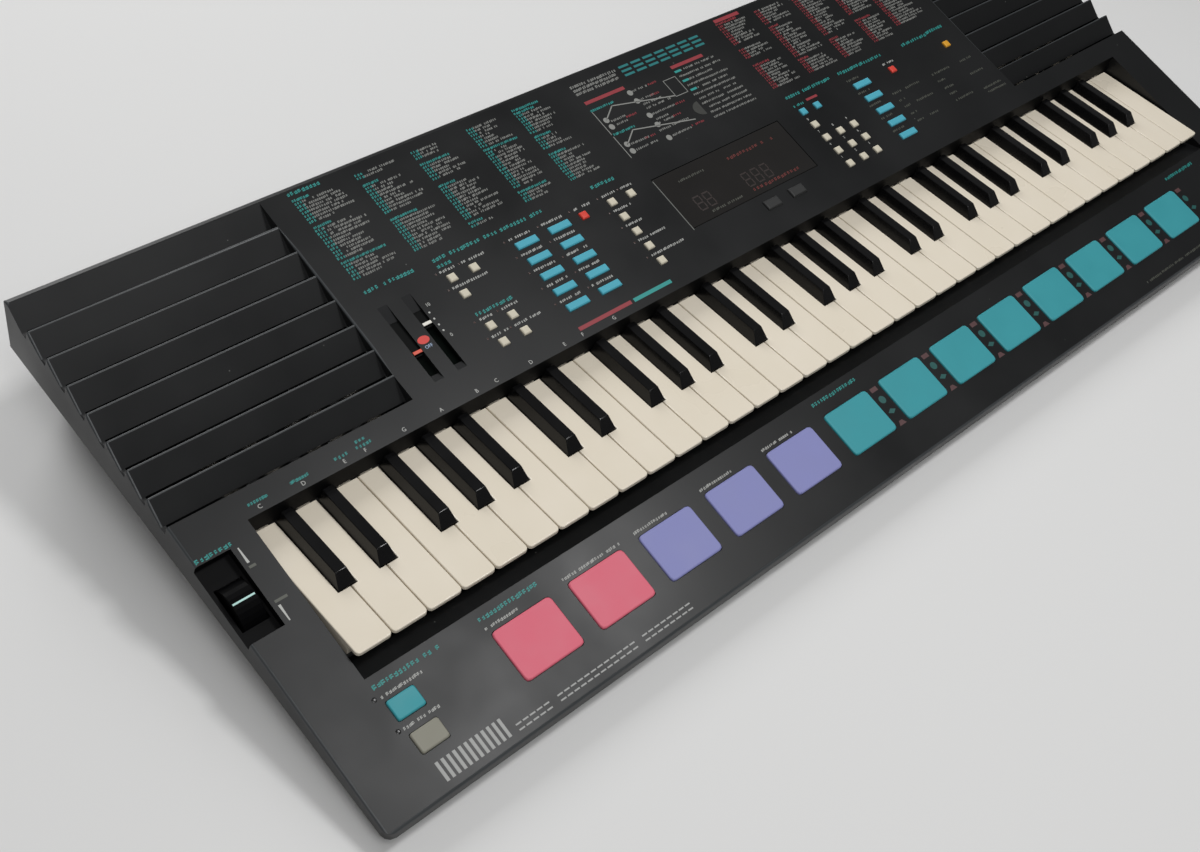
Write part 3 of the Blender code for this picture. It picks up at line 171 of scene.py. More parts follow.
def linked(name, data):
    """A new object in the scene."""
    made = bpy.data.objects.new(name, data)
    bpy.context.scene.collection.objects.link(made)
    return made


def frozen(helper):
    """The evaluated mesh of a working object, which is then removed."""
    seen = helper.evaluated_get(bpy.context.evaluated_depsgraph_get())
    mesh = bpy.data.meshes.new_from_object(seen)
    bpy.data.objects.remove(helper)
    return mesh


def piece(name, mesh, body, materials=()):
    """A finished mesh as a piece that rides on a body."""
    for material in materials:
        mesh.materials.append(material)
    made = linked(name, mesh)
    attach(made, body)
    return made


def meshed(bm, name, smooth=35):
    """Ends a bmesh, with creases kept where faces meet at more than the angle given."""
    bmesh.ops.recalc_face_normals(bm, faces=bm.faces)
    mesh = bpy.data.meshes.new(name)
    bm.to_mesh(mesh)
    bm.free()
    mesh.shade_smooth()
    mesh.set_sharp_from_angle(angle=math.radians(smooth))
    return mesh


def flatten(mesh):
    """Corner normals that keep the large faces flat and let the rounded edges run into them."""
    large = {}
    for face in mesh.polygons:
        if face.area > LARGE_FACE:
            for i in face.vertices:
                large.setdefault(i, []).append(face.normal.copy())
    normals = [corner.vector.copy() for corner in mesh.corner_normals]
    for face in mesh.polygons:
        for i in face.loop_indices:
            if face.area > LARGE_FACE:
                normals[i] = face.normal.copy()
                continue
            beside = large.get(mesh.loops[i].vertex_index, ())
            near = [n for n in beside if n.dot(face.normal) > NEAR_COSINE]
            if near:
                normals[i] = max(near, key=face.normal.dot)
    mesh.normals_split_custom_set(normals)


def refined(node, name, rounds, materials, paint=None, moved=None, highlight_slot=None, turned=None):
    """Copy of a CAD node, merged, with crisp edges rounded, that stands for the node.
    Each round is a radius in millimetres and a choice of edges by their two ends. The rounded
    edges take the paler material of the painted edge highlight, where there is one, moved gives a vertex its
    new place, and turned chooses diagonals that cut a corner off and are turned the other way."""
    source = frame["nodes"][node]
    bm = bmesh.new()
    bm.from_mesh(source.data)
    bmesh.ops.remove_doubles(bm, verts=bm.verts, dist=2e-6)
    if turned:
        for edge in [e for e in bm.edges if turned(e.verts[0].co, e.verts[1].co)]:
            bmesh.utils.edge_rotate(edge)
        bm.normal_update()
    bmesh.ops.dissolve_limit(bm, angle_limit=math.radians(0.3), verts=bm.verts, edges=bm.edges)
    if moved:
        for vert in bm.verts:
            vert.co = moved(vert.co)
        bmesh.ops.remove_doubles(bm, verts=bm.verts, dist=2e-6)
    edge_highlight = []
    for radius, chosen in rounds:
        crisp = []
        for edge in bm.edges:
            if len(edge.link_faces) == 2 and edge.calc_face_angle_signed(0) > math.radians(18):
                if chosen(edge.verts[0].co, edge.verts[1].co):
                    crisp.append(edge)
        rounded = bmesh.ops.bevel(
            bm, geom=crisp, offset=radius * MM, segments=5, profile=0.5,
            affect="EDGES", clamp_overlap=True)
        edge_highlight += rounded["faces"]
    if paint:
        for face in bm.faces:
            face.material_index = paint(face.calc_center_median(), face.normal)
    # Faces of the rounded edges take the paler material of the painted edge highlight, where one is given.
    if highlight_slot is not None:
        for face in edge_highlight:
            if face.is_valid:
                face.material_index = highlight_slot
    mesh = bpy.data.meshes.new(name)
    bm.to_mesh(mesh)
    bm.free()
    mesh.shade_smooth()
    mesh.set_sharp_from_angle(angle=math.radians(32))
    flatten(mesh)
    made = piece(name, mesh, source["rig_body"], materials)
    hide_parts(node)
    return made


def middles(values, gap):
    """Middle of each group of sorted values that lies more than the gap from the next."""
    groups = [[values[0]]]
    for value in values[1:]:
        if value - groups[-1][-1] > gap:
            groups.append([])
        groups[-1].append(value)
    return [(group[0] + group[-1]) / 2 for group in groups]


def both(test):
    """Chooses the edges whose two ends pass the test."""
    return lambda a, b: test(a) and test(b)


def over(height):
    """Chooses the edges that lie higher over the panel than a height in millimetres."""
    return both(lambda point: plan(point)[2] > height)


def cap(point, normal, end=WEB_END):
    """Material of a rubber strip: the first for its web, and the second for its caps."""
    return int(plan(point)[2] > end)


# Node trees

def colour(code):
    """Linear colour of an sRGB hex code."""
    parts = [int(code[i:i + 2], 16) / 255 for i in (1, 3, 5)]
    return tuple(p / 12.92 if p <= 0.04045 else ((p + 0.055) / 1.055) ** 2.4 for p in parts) + (1.0,)


def add(tree, kind, inputs=None, **settings):
    """Adds a node, with its settings, and with its inputs set or linked."""
    made = tree.nodes.new(kind)
    for key, value in settings.items():
        setattr(made, key, value)
    for key, value in (inputs or {}).items():
        if isinstance(value, bpy.types.NodeSocket):
            tree.links.new(value, made.inputs[key])
        else:
            made.inputs[key].default_value = value
    return made


def empty_material(name):
    """A material without nodes, and its tree."""
    material = bpy.data.materials.new(name)
    material.use_nodes = True
    material.node_tree.nodes.clear()
    return material, material.node_tree


def moulded(name, dark, light, roughness, grain=0.4, depth=0.03, drift=45.0, shine=0.05, ior=1.5, dust=0,
            **gloss):
    """Moulded plastic or rubber. Its shade drifts between two colours over the drift in
    millimetres, its shine drifts with it, and the mould's grain stands the depth in millimetres.
    Dust is the distance between pale specks in millimetres, or 0 for none."""
    material, tree = empty_material(name)
    place = add(tree, "ShaderNodeTexCoord").outputs["Object"]
    slow = add(tree, "ShaderNodeTexNoise", {"Vector": place, "Scale": 1 / (drift * MM), "Detail": 3.0})
    fine = add(tree, "ShaderNodeTexNoise", {"Vector": place, "Scale": 1 / (grain * MM), "Detail": 2.0})
    shade = add(tree, "ShaderNodeMix", {0: slow.outputs["Fac"], 6: dark, 7: light}, data_type="RGBA")
    if dust:
        cells = add(tree, "ShaderNodeTexVoronoi", {"Vector": place, "Scale": 1 / (dust * MM)})
        speck = add(tree, "ShaderNodeMapRange", {
            "Value": cells.outputs["Distance"], "From Min": 0.22 / dust, "From Max": 0.4 / dust,
            "To Min": 0.4, "To Max": 0.0})
        shade = add(tree, "ShaderNodeMix", {
            0: speck.outputs["Result"], 6: shade.outputs[2], 7: colour("#9b9c99")}, data_type="RGBA")
    polish = add(tree, "ShaderNodeMapRange", {
        "Value": slow.outputs["Fac"], "From Min": 0.3, "From Max": 0.7,
        "To Min": roughness - shine, "To Max": roughness + shine})
    bump = add(tree, "ShaderNodeBump", {
        "Strength": 0.6, "Distance": depth * MM, "Height": fine.outputs["Fac"]})
    surface = add(tree, "ShaderNodeBsdfPrincipled", {
        "Base Color": shade.outputs[2], "Roughness": polish.outputs["Result"],
        "Normal": bump.outputs["Normal"], "IOR": ior})
    for key, value in gloss.items():
        surface.inputs[key.replace("_", " ").title()].default_value = value
    add(tree, "ShaderNodeOutputMaterial", {"Surface": surface.outputs["BSDF"]})
    return material


def charcoal_abs(dark, light):
    """Injection-moulded ABS with a spark-eroded skin: a fine even sparkle that breaks up every
    highlight, and soft patches that hands have polished."""
    return moulded("charcoal moulded ABS", dark, light, 0.38, grain=0.55, depth=0.022, drift=70, shine=0.07,
                   ior=1.38, dust=17)


def edge_highlight_abs():
    """The same ABS along its edges, smoother, and a shade paler as painted highlight where the rounded edges
    catch the light.
    """
    return moulded("charcoal ABS paler as painted edge highlight", colour("#303335"), colour("#3b3e40"), 0.4, grain=1.2, depth=0.004,
                   drift=30, shine=0.04)


def black_abs():
    """Plain black ABS of the underside, duller than the panel, with a coarser grain."""
    return moulded("matt black ABS", colour("#131314"), colour("#1c1c1d"), 0.58, grain=0.8, drift=60)


def ivory_abs(tint):
    """Polished cream ABS of the white keys: smooth and glossy, a little yellower in places."""
    dull = tuple(c * k for c, k in zip(tint, (0.93, 0.92, 0.88))) + (1.0,)
    return moulded("polished ivory ABS", dull, tint, 0.3, grain=2.5, depth=0.004, drift=35,
                   coat_weight=0.25, coat_roughness=0.12)


def gloss_black_abs():
    """Polished black ABS of the black keys and the wheel, which mirrors the lamps."""
    return moulded("polished black ABS", colour("#070708"), colour("#0c0c0d"), 0.24, grain=3.0,
                   depth=0.004, drift=25, shine=0.05, ior=1.36, coat_weight=0.2, coat_roughness=0.08)


def silicone(name, tint, roughness=0.55):
    """Silicone rubber of the pads and buttons: dry and matt, with a fine grain."""
    dull = tuple(c * 0.88 for c in tint[:3]) + (1.0,)
    return moulded(name, dull, tint, roughness, grain=0.7, depth=0.02, drift=18, shine=0.06,
                   sheen_weight=0.12, sheen_roughness=0.5)


def smoked_acrylic():
    """Smoked acrylic of the display: nearly black, faintly brown, and mirror smooth."""
    return moulded("smoked acrylic", colour("#191817"), colour("#201e1d"), 0.14, grain=8, depth=0.002,
                   drift=30, shine=0.03, ior=1.49, coat_weight=0.3, coat_roughness=0.04)


def shaded_solder_mask():
    """Circuit board under lacquer, nearly black as painted shade for the depth of the slots over it, with the
    traces showing as slight ridges.
    """
    return moulded("solder mask darkened as painted shade", colour("#0b100e"), colour("#121a16"), 0.35, grain=1.3,
                   depth=0.05, drift=9)


def grey_abs():
    """Unfinished grey ABS of the frame under the keys."""
    return moulded("plain grey ABS", colour("#3a3a3a"), colour("#464646"), 0.55, drift=50)


def cone_paper():
    """Pressed black paper of the loudspeaker cones, fibrous and quite dull."""
    return moulded("pressed cone paper", colour("#121212"), colour("#1e1d1c"), 0.8, grain=0.9,
                   depth=0.12, drift=12)


def nickel():
    """Nickel-plated brass of the sockets: a bright, slightly brushed ring."""
    return moulded("nickel plating", colour("#b9b4aa"), colour("#cbc7bf"), 0.28, grain=0.6, depth=0.006,
                   drift=5, metallic=1.0)


def ink(name, code, cover=0.12):
    """Screen-printed ink: flat and matt, thinner where the mesh of the screen let less through."""
    full = colour(code)
    thin = tuple(c * (1 - cover) for c in full[:3]) + (1.0,)
    return moulded(name, thin, full, 0.5, grain=0.35, depth=0.008, drift=2.5, shine=0.04)


def floor_paint(tint):
    """Smooth pale paint of the studio floor."""
    return moulded("pale floor paint", tuple(c * 0.985 for c in tint) + (1.0,), tuple(tint) + (1.0,), 0.75,
                   grain=3.0, depth=0.01, drift=400)


def node_group(name, source, values, finish, result):
    """A node tree with a geometry input, numbers, a material input and a geometry output."""
    tree = bpy.data.node_groups.new(name, "GeometryNodeTree")
    face = tree.interface
    face.new_socket(source, in_out="INPUT", socket_type="NodeSocketGeometry")
    for label, value in values:
        kind = "NodeSocketInt" if isinstance(value, int) else "NodeSocketFloat"
        face.new_socket(label, in_out="INPUT", socket_type=kind).default_value = value
    face.new_socket(finish, in_out="INPUT", socket_type="NodeSocketMaterial")
    face.new_socket(result, in_out="OUTPUT", socket_type="NodeSocketGeometry")
    return tree


def printed_rows_tree():
    """Rows of small marks along the edges of a mesh, as small print looks from a distance.
    Each is an upright stroke with two cross strokes, turned at random, with gaps between words."""
    tree = node_group("printed rows", "Lines", (
        ("Letter pitch", 1.2 * MM), ("Letter width", 0.8 * MM), ("Letter height", 1.4 * MM),
        ("Thickness", 0.08 * MM), ("Stroke", 0.3), ("Filled", 0.9), ("Tilt", TILT), ("Seed", 1)),
        "Ink", "Print")
    given = add(tree, "NodeGroupInput").outputs
    line = add(tree, "GeometryNodeMeshToCurve", {"Mesh": given["Lines"]})
    points = add(tree, "GeometryNodeResampleCurve", {
        "Curve": line.outputs["Curve"], "Length": given["Letter pitch"]}, mode="LENGTH")
    size = add(tree, "ShaderNodeCombineXYZ", {
        "X": given["Letter width"], "Y": given["Letter height"], "Z": given["Thickness"]})
    thin = add(tree, "ShaderNodeMath", {0: given["Letter height"], 1: given["Stroke"]}, operation="MULTIPLY")
    tall = add(tree, "ShaderNodeCombineXYZ", {
        "X": thin.outputs[0], "Y": given["Letter height"], "Z": given["Thickness"]})
    wide = add(tree, "ShaderNodeCombineXYZ", {
        "X": given["Letter width"], "Y": thin.outputs[0], "Z": given["Thickness"]})
    upright = add(tree, "GeometryNodeMeshCube", {"Size": tall.outputs["Vector"]})
    across = add(tree, "GeometryNodeMeshCube", {"Size": wide.outputs["Vector"]})
    letter = add(tree, "GeometryNodeJoinGeometry")
    strokes = (upright, (-0.42, 0.0, 0.0)), (across, (0.0, 0.42, 0.0)), (across, (0.0, -0.12, 0.0))
    for part, share in strokes:
        offset = add(tree, "ShaderNodeVectorMath", {
            0: size.outputs["Vector"], 1: share}, operation="MULTIPLY")
        moved = add(tree, "GeometryNodeTransform", {
            "Geometry": part.outputs["Mesh"], "Translation": offset.outputs["Vector"]})
        tree.links.new(moved.outputs["Geometry"], letter.inputs["Geometry"])
    half = add(tree, "FunctionNodeRandomValue", {
        "Probability": 0.5, "Seed": given["Seed"]}, data_type="BOOLEAN")
    spin = add(tree, "ShaderNodeMath", {0: half.outputs[3], 1: math.pi}, operation="MULTIPLY")
    lean = add(tree, "ShaderNodeCombineXYZ", {"X": given["Tilt"]})
    flip = add(tree, "ShaderNodeCombineXYZ", {"Z": spin.outputs[0]})
    turn = add(tree, "FunctionNodeRotateRotation", {
        "Rotation": lean.outputs["Vector"], "Rotate By": flip.outputs["Vector"]}, rotation_space="LOCAL")
    kept = add(tree, "FunctionNodeRandomValue", {
        "Probability": given["Filled"], "Seed": given["Seed"]}, data_type="BOOLEAN")
    stretch = add(tree, "FunctionNodeRandomValue", {
        0: (0.6, 0.78, 1.0), 1: (1.12, 1.0, 1.0), "Seed": given["Seed"]}, data_type="FLOAT_VECTOR")
    letters = add(tree, "GeometryNodeInstanceOnPoints", {
        "Points": points.outputs["Curve"], "Instance": letter.outputs["Geometry"],
        "Selection": kept.outputs[3], "Rotation": turn.outputs["Rotation"], "Scale": stretch.outputs[0]})
    real = add(tree, "GeometryNodeRealizeInstances", {"Geometry": letters.outputs["Instances"]})
    inked = add(tree, "GeometryNodeSetMaterial", {
        "Geometry": real.outputs["Geometry"], "Material": given["Ink"]})
    add(tree, "NodeGroupOutput", {"Print": inked.outputs["Geometry"]})
    return tree


def lamp_row_tree():
    """A low round lens on every point of a mesh."""
    tree = node_group("indicator lamps", "Places", (
        ("Radius", 0.7 * MM), ("Height", 0.3 * MM), ("Tilt", TILT)), "Lens", "Lamps")
    given = add(tree, "NodeGroupInput").outputs
    ball = add(tree, "GeometryNodeMeshUVSphere", {"Segments": 12, "Rings": 8, "Radius": 1.0})
    size = add(tree, "ShaderNodeCombineXYZ", {
        "X": given["Radius"], "Y": given["Radius"], "Z": given["Height"]})
    turn = add(tree, "ShaderNodeCombineXYZ", {"X": given["Tilt"]})
    lamps = add(tree, "GeometryNodeInstanceOnPoints", {
        "Points": given["Places"], "Instance": ball.outputs["Mesh"],
        "Rotation": turn.outputs["Vector"], "Scale": size.outputs["Vector"]})
    real = add(tree, "GeometryNodeRealizeInstances", {"Geometry": lamps.outputs["Instances"]})
    glazed = add(tree, "GeometryNodeSetMaterial", {
        "Geometry": real.outputs["Geometry"], "Material": given["Lens"]})
    add(tree, "NodeGroupOutput", {"Lamps": glazed.outputs["Geometry"]})
    return tree


def grown(name, mesh, tree, values):
    """Runs a node tree on a mesh, and keeps the result as a plain piece of the case."""
    seedling = linked(name + "_lines", mesh)
    modifier = seedling.modifiers.new(tree.name, "NODES")
    modifier.node_group = tree
    for item in tree.interface.items_tree:
        if item.in_out == "INPUT" and item.name in values:
            modifier[item.identifier] = values[item.name]
    result = frozen(seedling)
    result.name = name
    return piece(name, result, "case")


# What is printed on the panel, in plan millimetres

# Lists: left end, longest entry, and blocks of (height, rows, length of the heading or 0)
TEAL_LISTS = (
    (-235, 25, ((134, 7, 9), (116, 10, 10), (92.5, 5, 26))),
    (-196.5, 23, ((136, 2, 0), (127, 9, 9), (103.5, 10, 16))),
    (-160, 23, ((136, 3, 0), (125.5, 5, 18), (110, 11, 10), (84, 1, 8))),
    (-122, 18, ((136, 7, 0), (119, 13, 23), (88.5, 3, 19))),
    (-89, 19, ((134.5, 0, 18), (132.3, 7, 13), (114.5, 4, 11), (101.5, 9, 11))),
)
RED_LISTS = (
    (79, 22, ((136.5, 8, 17), (116.5, 4, 0), (101.5, 9, 13))),
    (112.5, 22, ((137, 6, 0), (121, 12, 8), (93, 5, 8))),
    (146.5, 21, ((139, 18, 0), (97, 7, 8))),
    (178, 20, ((139, 15, 0), (102, 9, 14))),
    (206, 26, ((139, 25, 0),)),
)
ROW_PITCH = 2.05
NUMBER_LENGTH = 3.4

# Straight lines of print: (left end, right end, height)
TEAL_TITLES = (
    (-235, -217, 138.2), (-235, -223, 73.6), (-219.5, -206, 73.6), (-192, -151, 73.6), (-192, -185, 69.6),
    (-147, -119, 73.6), (-81, -66, 73.6), (-192, -169.5, 37.6), (81, 121, 73.6), (131, 172, 73.6),
    (195, 219, 73.2), (222, 238, 74), (-351, -317, -90.8), (-293, -260, -90.8), (-63, -29, -90.8),
    (298, 330, -90.8), (-382, -365.5, -6),
)
TEAL_LABELS = (
    (-45, -28, 116), (-45, -28, 97), (81, 89, 66.4), (-348, -339, 5.6), (-326, -315.5, 5.6),
    (-301.5, -295.5, 5.6), (-289.5, -282, 5.6), (-288, -284, 8.2),
)
WHITE_LABELS = (
    (-193, -184.5, 66.2), (-179, -165, 66.2), (-193, -171, 55.6), (-192, -185.5, 34.4), (-178, -166.5, 34.4),
    (-193, -183, 23.6), (-178, -161.5, 23.6), (-101, -90, 66.2), (-80, -71, 66.2), (-66, -58.5, 66.2),
    (-80, -68, 55.6), (-80, -69, 45), (-80, -60.5, 34.4), (-80, -56, 23.6), (-351, -330, -95.9),
    (-351, -333, -112), (-293, -275, -95.7), (-247, -211.5, -95.9), (-201, -179.5, -95.9),
    (-155, -133, -95.9),
    (-109, -86.5, -95.9), (168, 177.5, 66.6),
)
PAIRED_LABEL_HEIGHTS = (66.2, 55.6, 45, 34.4, 23.6)
FAINT_LABELS = (
    (156, 163, 46), (169, 182, 46), (156, 161, 40), (156, 161, 35), (169, 184, 35), (156, 161, 29),
    (156, 161, 23), (169, 176, 23), (197, 214, 46), (197, 203, 40), (197, 205, 34), (197, 203, 29),
    (197, 214, 23.5), (227, 238, 46), (226, 240, 35), (226, 245, 22), (227, 245, 18.5), (210, 252, -138),
    (256, 280, -138), (336, 352, -95.5), (-30, -19.5, 55), (-18, -10.5, 55), (-25, -12.5, 30.5),
    (-11, -1, 30.5),
)
NOTE_LETTERS = (
    ("C", -344.3), ("D", -321.2), ("E", -298.6), ("F", -286.8), ("G", -264.4), ("A", -242), ("B", -219.9),
    ("C", -207.4), ("D", -184.8), ("E", -162), ("F", -149.3), ("G", -127),
)
LAMPS = (
    [(-196, y) for y in (66.2, 55.6, 34.4, 23.6)] + [(-181, y) for y in (66.2, 34.4, 23.6)]
    + [(x, y) for x in (-150.6, -127.2) for y in PAIRED_LABEL_HEIGHTS]
    + [(-83.6, y) for y in PAIRED_LABEL_HEIGHTS] + [(-104.5, 66.2), (-68.3, 66.2)]
)
SOCKETS = ((126, 7.2), (150, 7.2), (174, 3.3), (197, 3.3), (220, 3.1))
PAD_SYMBOLS_X = (-23, 23, 69, 114.8, 160.6, 206.5, 252.4, 298.2)


def list_lines(columns, seed):
    """Lines of the number column and the names beside it, and of the headings."""
    chance = random.Random(seed)
    numbers, names = [], []
    for x, longest, blocks in columns:
        for top, rows, heading in blocks:
            if heading:
                numbers.append((x, x + heading, top))
            for row in range(1, rows + 1):
                y = top - row * ROW_PITCH
                numbers.append((x, x + NUMBER_LENGTH, y))
                names.append((x + 4.6, x + 4.6 + longest * chance.uniform(0.38, 0.98), y))
    return numbers, names


def line_mesh(lines, height=0.03):
    """Loose edges on the panel, one for each line of print."""
    mesh = bpy.data.meshes.new("printed lines")
    points = []
    for left, right, y in lines:
        points += [spot(left, y, height), spot(right, y, height)]
    edges = [(2 * i, 2 * i + 1) for i in range(len(lines))]
    mesh.from_pydata(points, edges, [])
    return mesh


def small_print(name, lines, paint, pitch, width, height, filled=0.9, seed=1, slot=SLOT):
    """Small print along the lines, with the pitch and size of its letters in millimetres."""
    return grown(name, line_mesh(lines), bpy.data.node_groups["printed rows"], {
        "Letter pitch": pitch * MM, "Letter width": width * MM, "Letter height": height * MM,
        "Filled": filled, "Seed": seed, "Ink": paint})


def lettering(name, words, material):
    """Real letters and figures on the panel, from (text, x, y, height of a capital)."""
    bm = bmesh.new()
    for text, x, y, height in words:
        curve = bpy.data.curves.new(name, "FONT")
        curve.body = text
        curve.size = height * MM / 0.72
        curve.align_x = "CENTER"
        curve.align_y = "CENTER"
        curve.extrude = 0.04 * MM
        curve.resolution_u = 3
        mesh = frozen(linked(name + "_sample", curve))
        mesh.transform(Matrix.Translation(spot(x, y, 0.03)) @ Matrix.Rotation(TILT, 4, "X"))
        bm.from_mesh(mesh)
    bmesh.ops.remove_doubles(bm, verts=bm.verts, dist=1e-6)
    return piece(name, meshed(bm, name), "case", [material])


def flat_print(name, outlines, material, low=-0.02, high=0.08):
    """Flat printed shapes, from outlines, between two heights over the panel in millimetres."""
    bm = bmesh.new()
    for outline in outlines:
        slab(bm, outline, low, high)
    return piece(name, meshed(bm, name), "case", [material])


def bar(left, right, y, height):
    """Outline of an upright rectangle about a height."""
    return [(left, y - height / 2), (right, y - height / 2), (right, y + height / 2), (left, y + height / 2)]


# What a user would change

def shade(name, description, code):
    """A colour setting, from its sRGB hex code."""
    return FloatVectorProperty(
        name=name, description=description, subtype="COLOR", size=4, min=0, max=1, default=colour(code))


def millimetres(name, description, low, high, value):
    """A length setting in millimetres."""
    return FloatProperty(name=name, description=description + ", in millimetres", min=low, max=high,
                         default=value)


class CaseSettings(bpy.types.PropertyGroup):
    panel_dark: shade("Panel, darker", "Darker shade of the charcoal case", "#0f1011")
    panel_light: shade("Panel, lighter", "Lighter shade of the charcoal case", "#161718")
    slat_edge: millimetres("Slat edge", "Rounding of the louvres' crests", 0.1, 1.5, 1.1)


class KeySettings(bpy.types.PropertyGroup):
    ivory: shade("White keys", "Colour of the white keys", "#e6ddcd")
    white_edge: millimetres("White key edge", "Rounding of the white keys' top edges", 0.1, 1.5, 0.6)
    black_edge: millimetres("Black key edge", "Rounding of the black keys' edges", 0.1, 1.5, 0.45)
    top_widening: millimetres(
        "Black key top", "What each side of a black key's top is moved out", 0.0, 0.9, 0.45)


class PadSettings(bpy.types.PropertyGroup):
    pink: shade("Start pads", "Colour of the two start pads", "#df677b")
    purple: shade("Fill-in pads", "Colour of the three fill-in pads", "#8689c0")
    teal: shade("Drum pads", "Colour of the eight drum pads", "#2d98a2")
    edge: millimetres("Pad edge", "Rounding of the pads' top edges", 0.1, 1.0, 0.35)


class PrintSettings(bpy.types.PropertyGroup):
    letter_height: millimetres("Small print", "Height of the small print", 0.5, 3.0, 1.35)
    title_height: millimetres("Titles", "Height of the titles", 0.5, 5.0, 2.1)
    seed: IntProperty(
        name="Seed", description="Changes where the small print has its gaps", min=0, max=999, default=7)


class KeyboardSettings(bpy.types.PropertyGroup):
    case: PointerProperty(type=CaseSettings)
    keys: PointerProperty(type=KeySettings)
    pads: PointerProperty(type=PadSettings)
    printing: PointerProperty(type=PrintSettings)


class KEYBOARD_OT_case(bpy.types.Operator):
    """Upper case with its louvres, lower case, door and feet"""
    bl_idname = "keyboard.build_case"
    bl_label = "Case"

    def execute(self, context):
        settings = context.scene.portable_keyboard.case
        charcoal = charcoal_abs(tuple(settings.panel_dark), tuple(settings.panel_light))
        black = black_abs()
        # Nearly black: painted shade for the wheel recess and the deep faces under the panel.
        painted_shade_black = moulded("recess ABS blackened as painted shade", colour("#050506"), colour("#09090a"), 0.6, drift=15, ior=1.2)
        # Paler edge material: painted highlight along the rounded outer edges and slat crests.
        edge_highlight = edge_highlight_abs()
        # Darker copy of the charcoal: painted shade on the slider slot ends.
        dull = moulded("charcoal ABS darkened as painted shade", colour("#111213"), colour("#17181a"), 0.62, drift=30,
                       ior=1.3)
        foot = silicone("foot rubber", colour("#1a1a1a"), 0.75)

        side = CAD_BOX[1].x
        length = (REAR_Y - FRONT_Y) / math.cos(TILT) / MM
        crests = [length - LOUVRE_RIM - LOUVRE_PITCH * i for i in range(1, LOUVRE_SLATS)]

        def up_slope(point):
            """Distance up the panel from its front edge, in millimetres."""
            return (OFF_PANEL @ point).y / MM

        def squared(point):
            """Moves the small facets at a slat's outer corner into one sharp corner."""
            distance = up_slope(point)
            if abs(point.x) > side - 1.5 * MM and plan(point)[2] > -1.7:
                for crest in crests:
                    if -3.2 < distance - crest < 0.7:
                        return PANEL @ Vector((math.copysign(side, point.x), crest * MM, 0))
            return point

        def slat_edges(a, b):
            """A slat's crest, and its outer end beside and behind the crest."""
            if min(abs(a.x), abs(b.x)) < LOUVRE_INNER * MM or min(plan(a)[2], plan(b)[2]) < -6.5:
                return False
            at_crest = [any(abs(up_slope(p) - crest) < 0.05 for crest in crests) for p in (a, b)]
            high = [plan(p)[2] > -0.05 for p in (a, b)]
            if all(at_crest) and all(high):
                return True
            outer = min(abs(a.x), abs(b.x)) > side - 0.05 * MM
            return outer and ((at_crest[0] and high[0]) or (at_crest[1] and high[1]))

        def finish(point, normal):
            """Painted highlight on the rounded outer edges, painted shade in the black recesses and on the
            darker slot ends, on the charcoal case.
            """
            x, y, height = plan(point)
            outer = abs(point.x) > side - 1.3 * MM or up_slope(point) < 1.3
            # Masks of painted shade: the wheel recess, the slider slot ends and faces deeper than 4.5 mm
            # under the panel.
            shaded_wheel_recess = x < -366.4 and -49 < y < -6 and height < -0.4
            shaded_slot_end = -245 < x < -205 and 48 < y < 63 and height < -0.05
            deep = height < -4.5 and abs(x) < LOUVRE_INNER and y > 0
            # Painted highlight: the paler material on the rounded outer edges.
            if outer and -1.3 < height < -0.02 and 0.15 < normal.z < 0.96:
                return 2
            if shaded_slot_end:
                return 3
            return int(shaded_wheel_recess or deep)

        # The rounded slat crests take material 2, the painted edge highlight.
        refined("upper_case", "upper_case_moulding",
                [(settings.slat_edge, slat_edges)], [charcoal, painted_shade_black, edge_highlight, dull], finish,
                squared, highlight_slot=2)
        refined("lower_case", "lower_case_moulding", [(0.4, both(lambda p: p.z < 1e-4))],
                [black, foot], lambda p, n: int(p.z < 2.2 * MM))
        door = frame["nodes"]["battery_door"]
        door.data.materials.clear()
        door.data.materials.append(black)
        return {"FINISHED"}


class KEYBOARD_OT_inside(bpy.types.Operator):
    """Finishes of the frame, boards and loudspeakers inside"""
    bl_idname = "keyboard.finish_inside"
    bl_label = "Inside"

    def execute(self, context):
        # The boards' nearly black solder mask is painted shade for the depth under the slots.
        finishes = {
            "key_frame": grey_abs(), "key_contact_board": shaded_solder_mask(),
            "panel_circuit_board": shaded_solder_mask(), "left_speaker": cone_paper(), "right_speaker": cone_paper()}
        for node, finish in finishes.items():
            mesh = frame["nodes"][node].data
            mesh.materials.clear()
            mesh.materials.append(finish)
        return {"FINISHED"}


class KEYBOARD_OT_white_keys(bpy.types.Operator):
    """Thirty-six white keys with softly rounded tops"""
    bl_idname = "keyboard.build_white_keys"
    bl_label = "White keys"

    def execute(self, context):
        settings = context.scene.portable_keyboard.keys
        ivory = ivory_abs(tuple(settings.ivory))
        top = both(lambda p: p.z > KEY_TOP - 0.05 * MM)
        for node in sorted(frame["nodes"]):
            if node.startswith("white_key_"):
                refined(node, node.replace("white_key", "ivory_key"), [(settings.white_edge, top)],
                        [ivory])
        return {"FINISHED"}


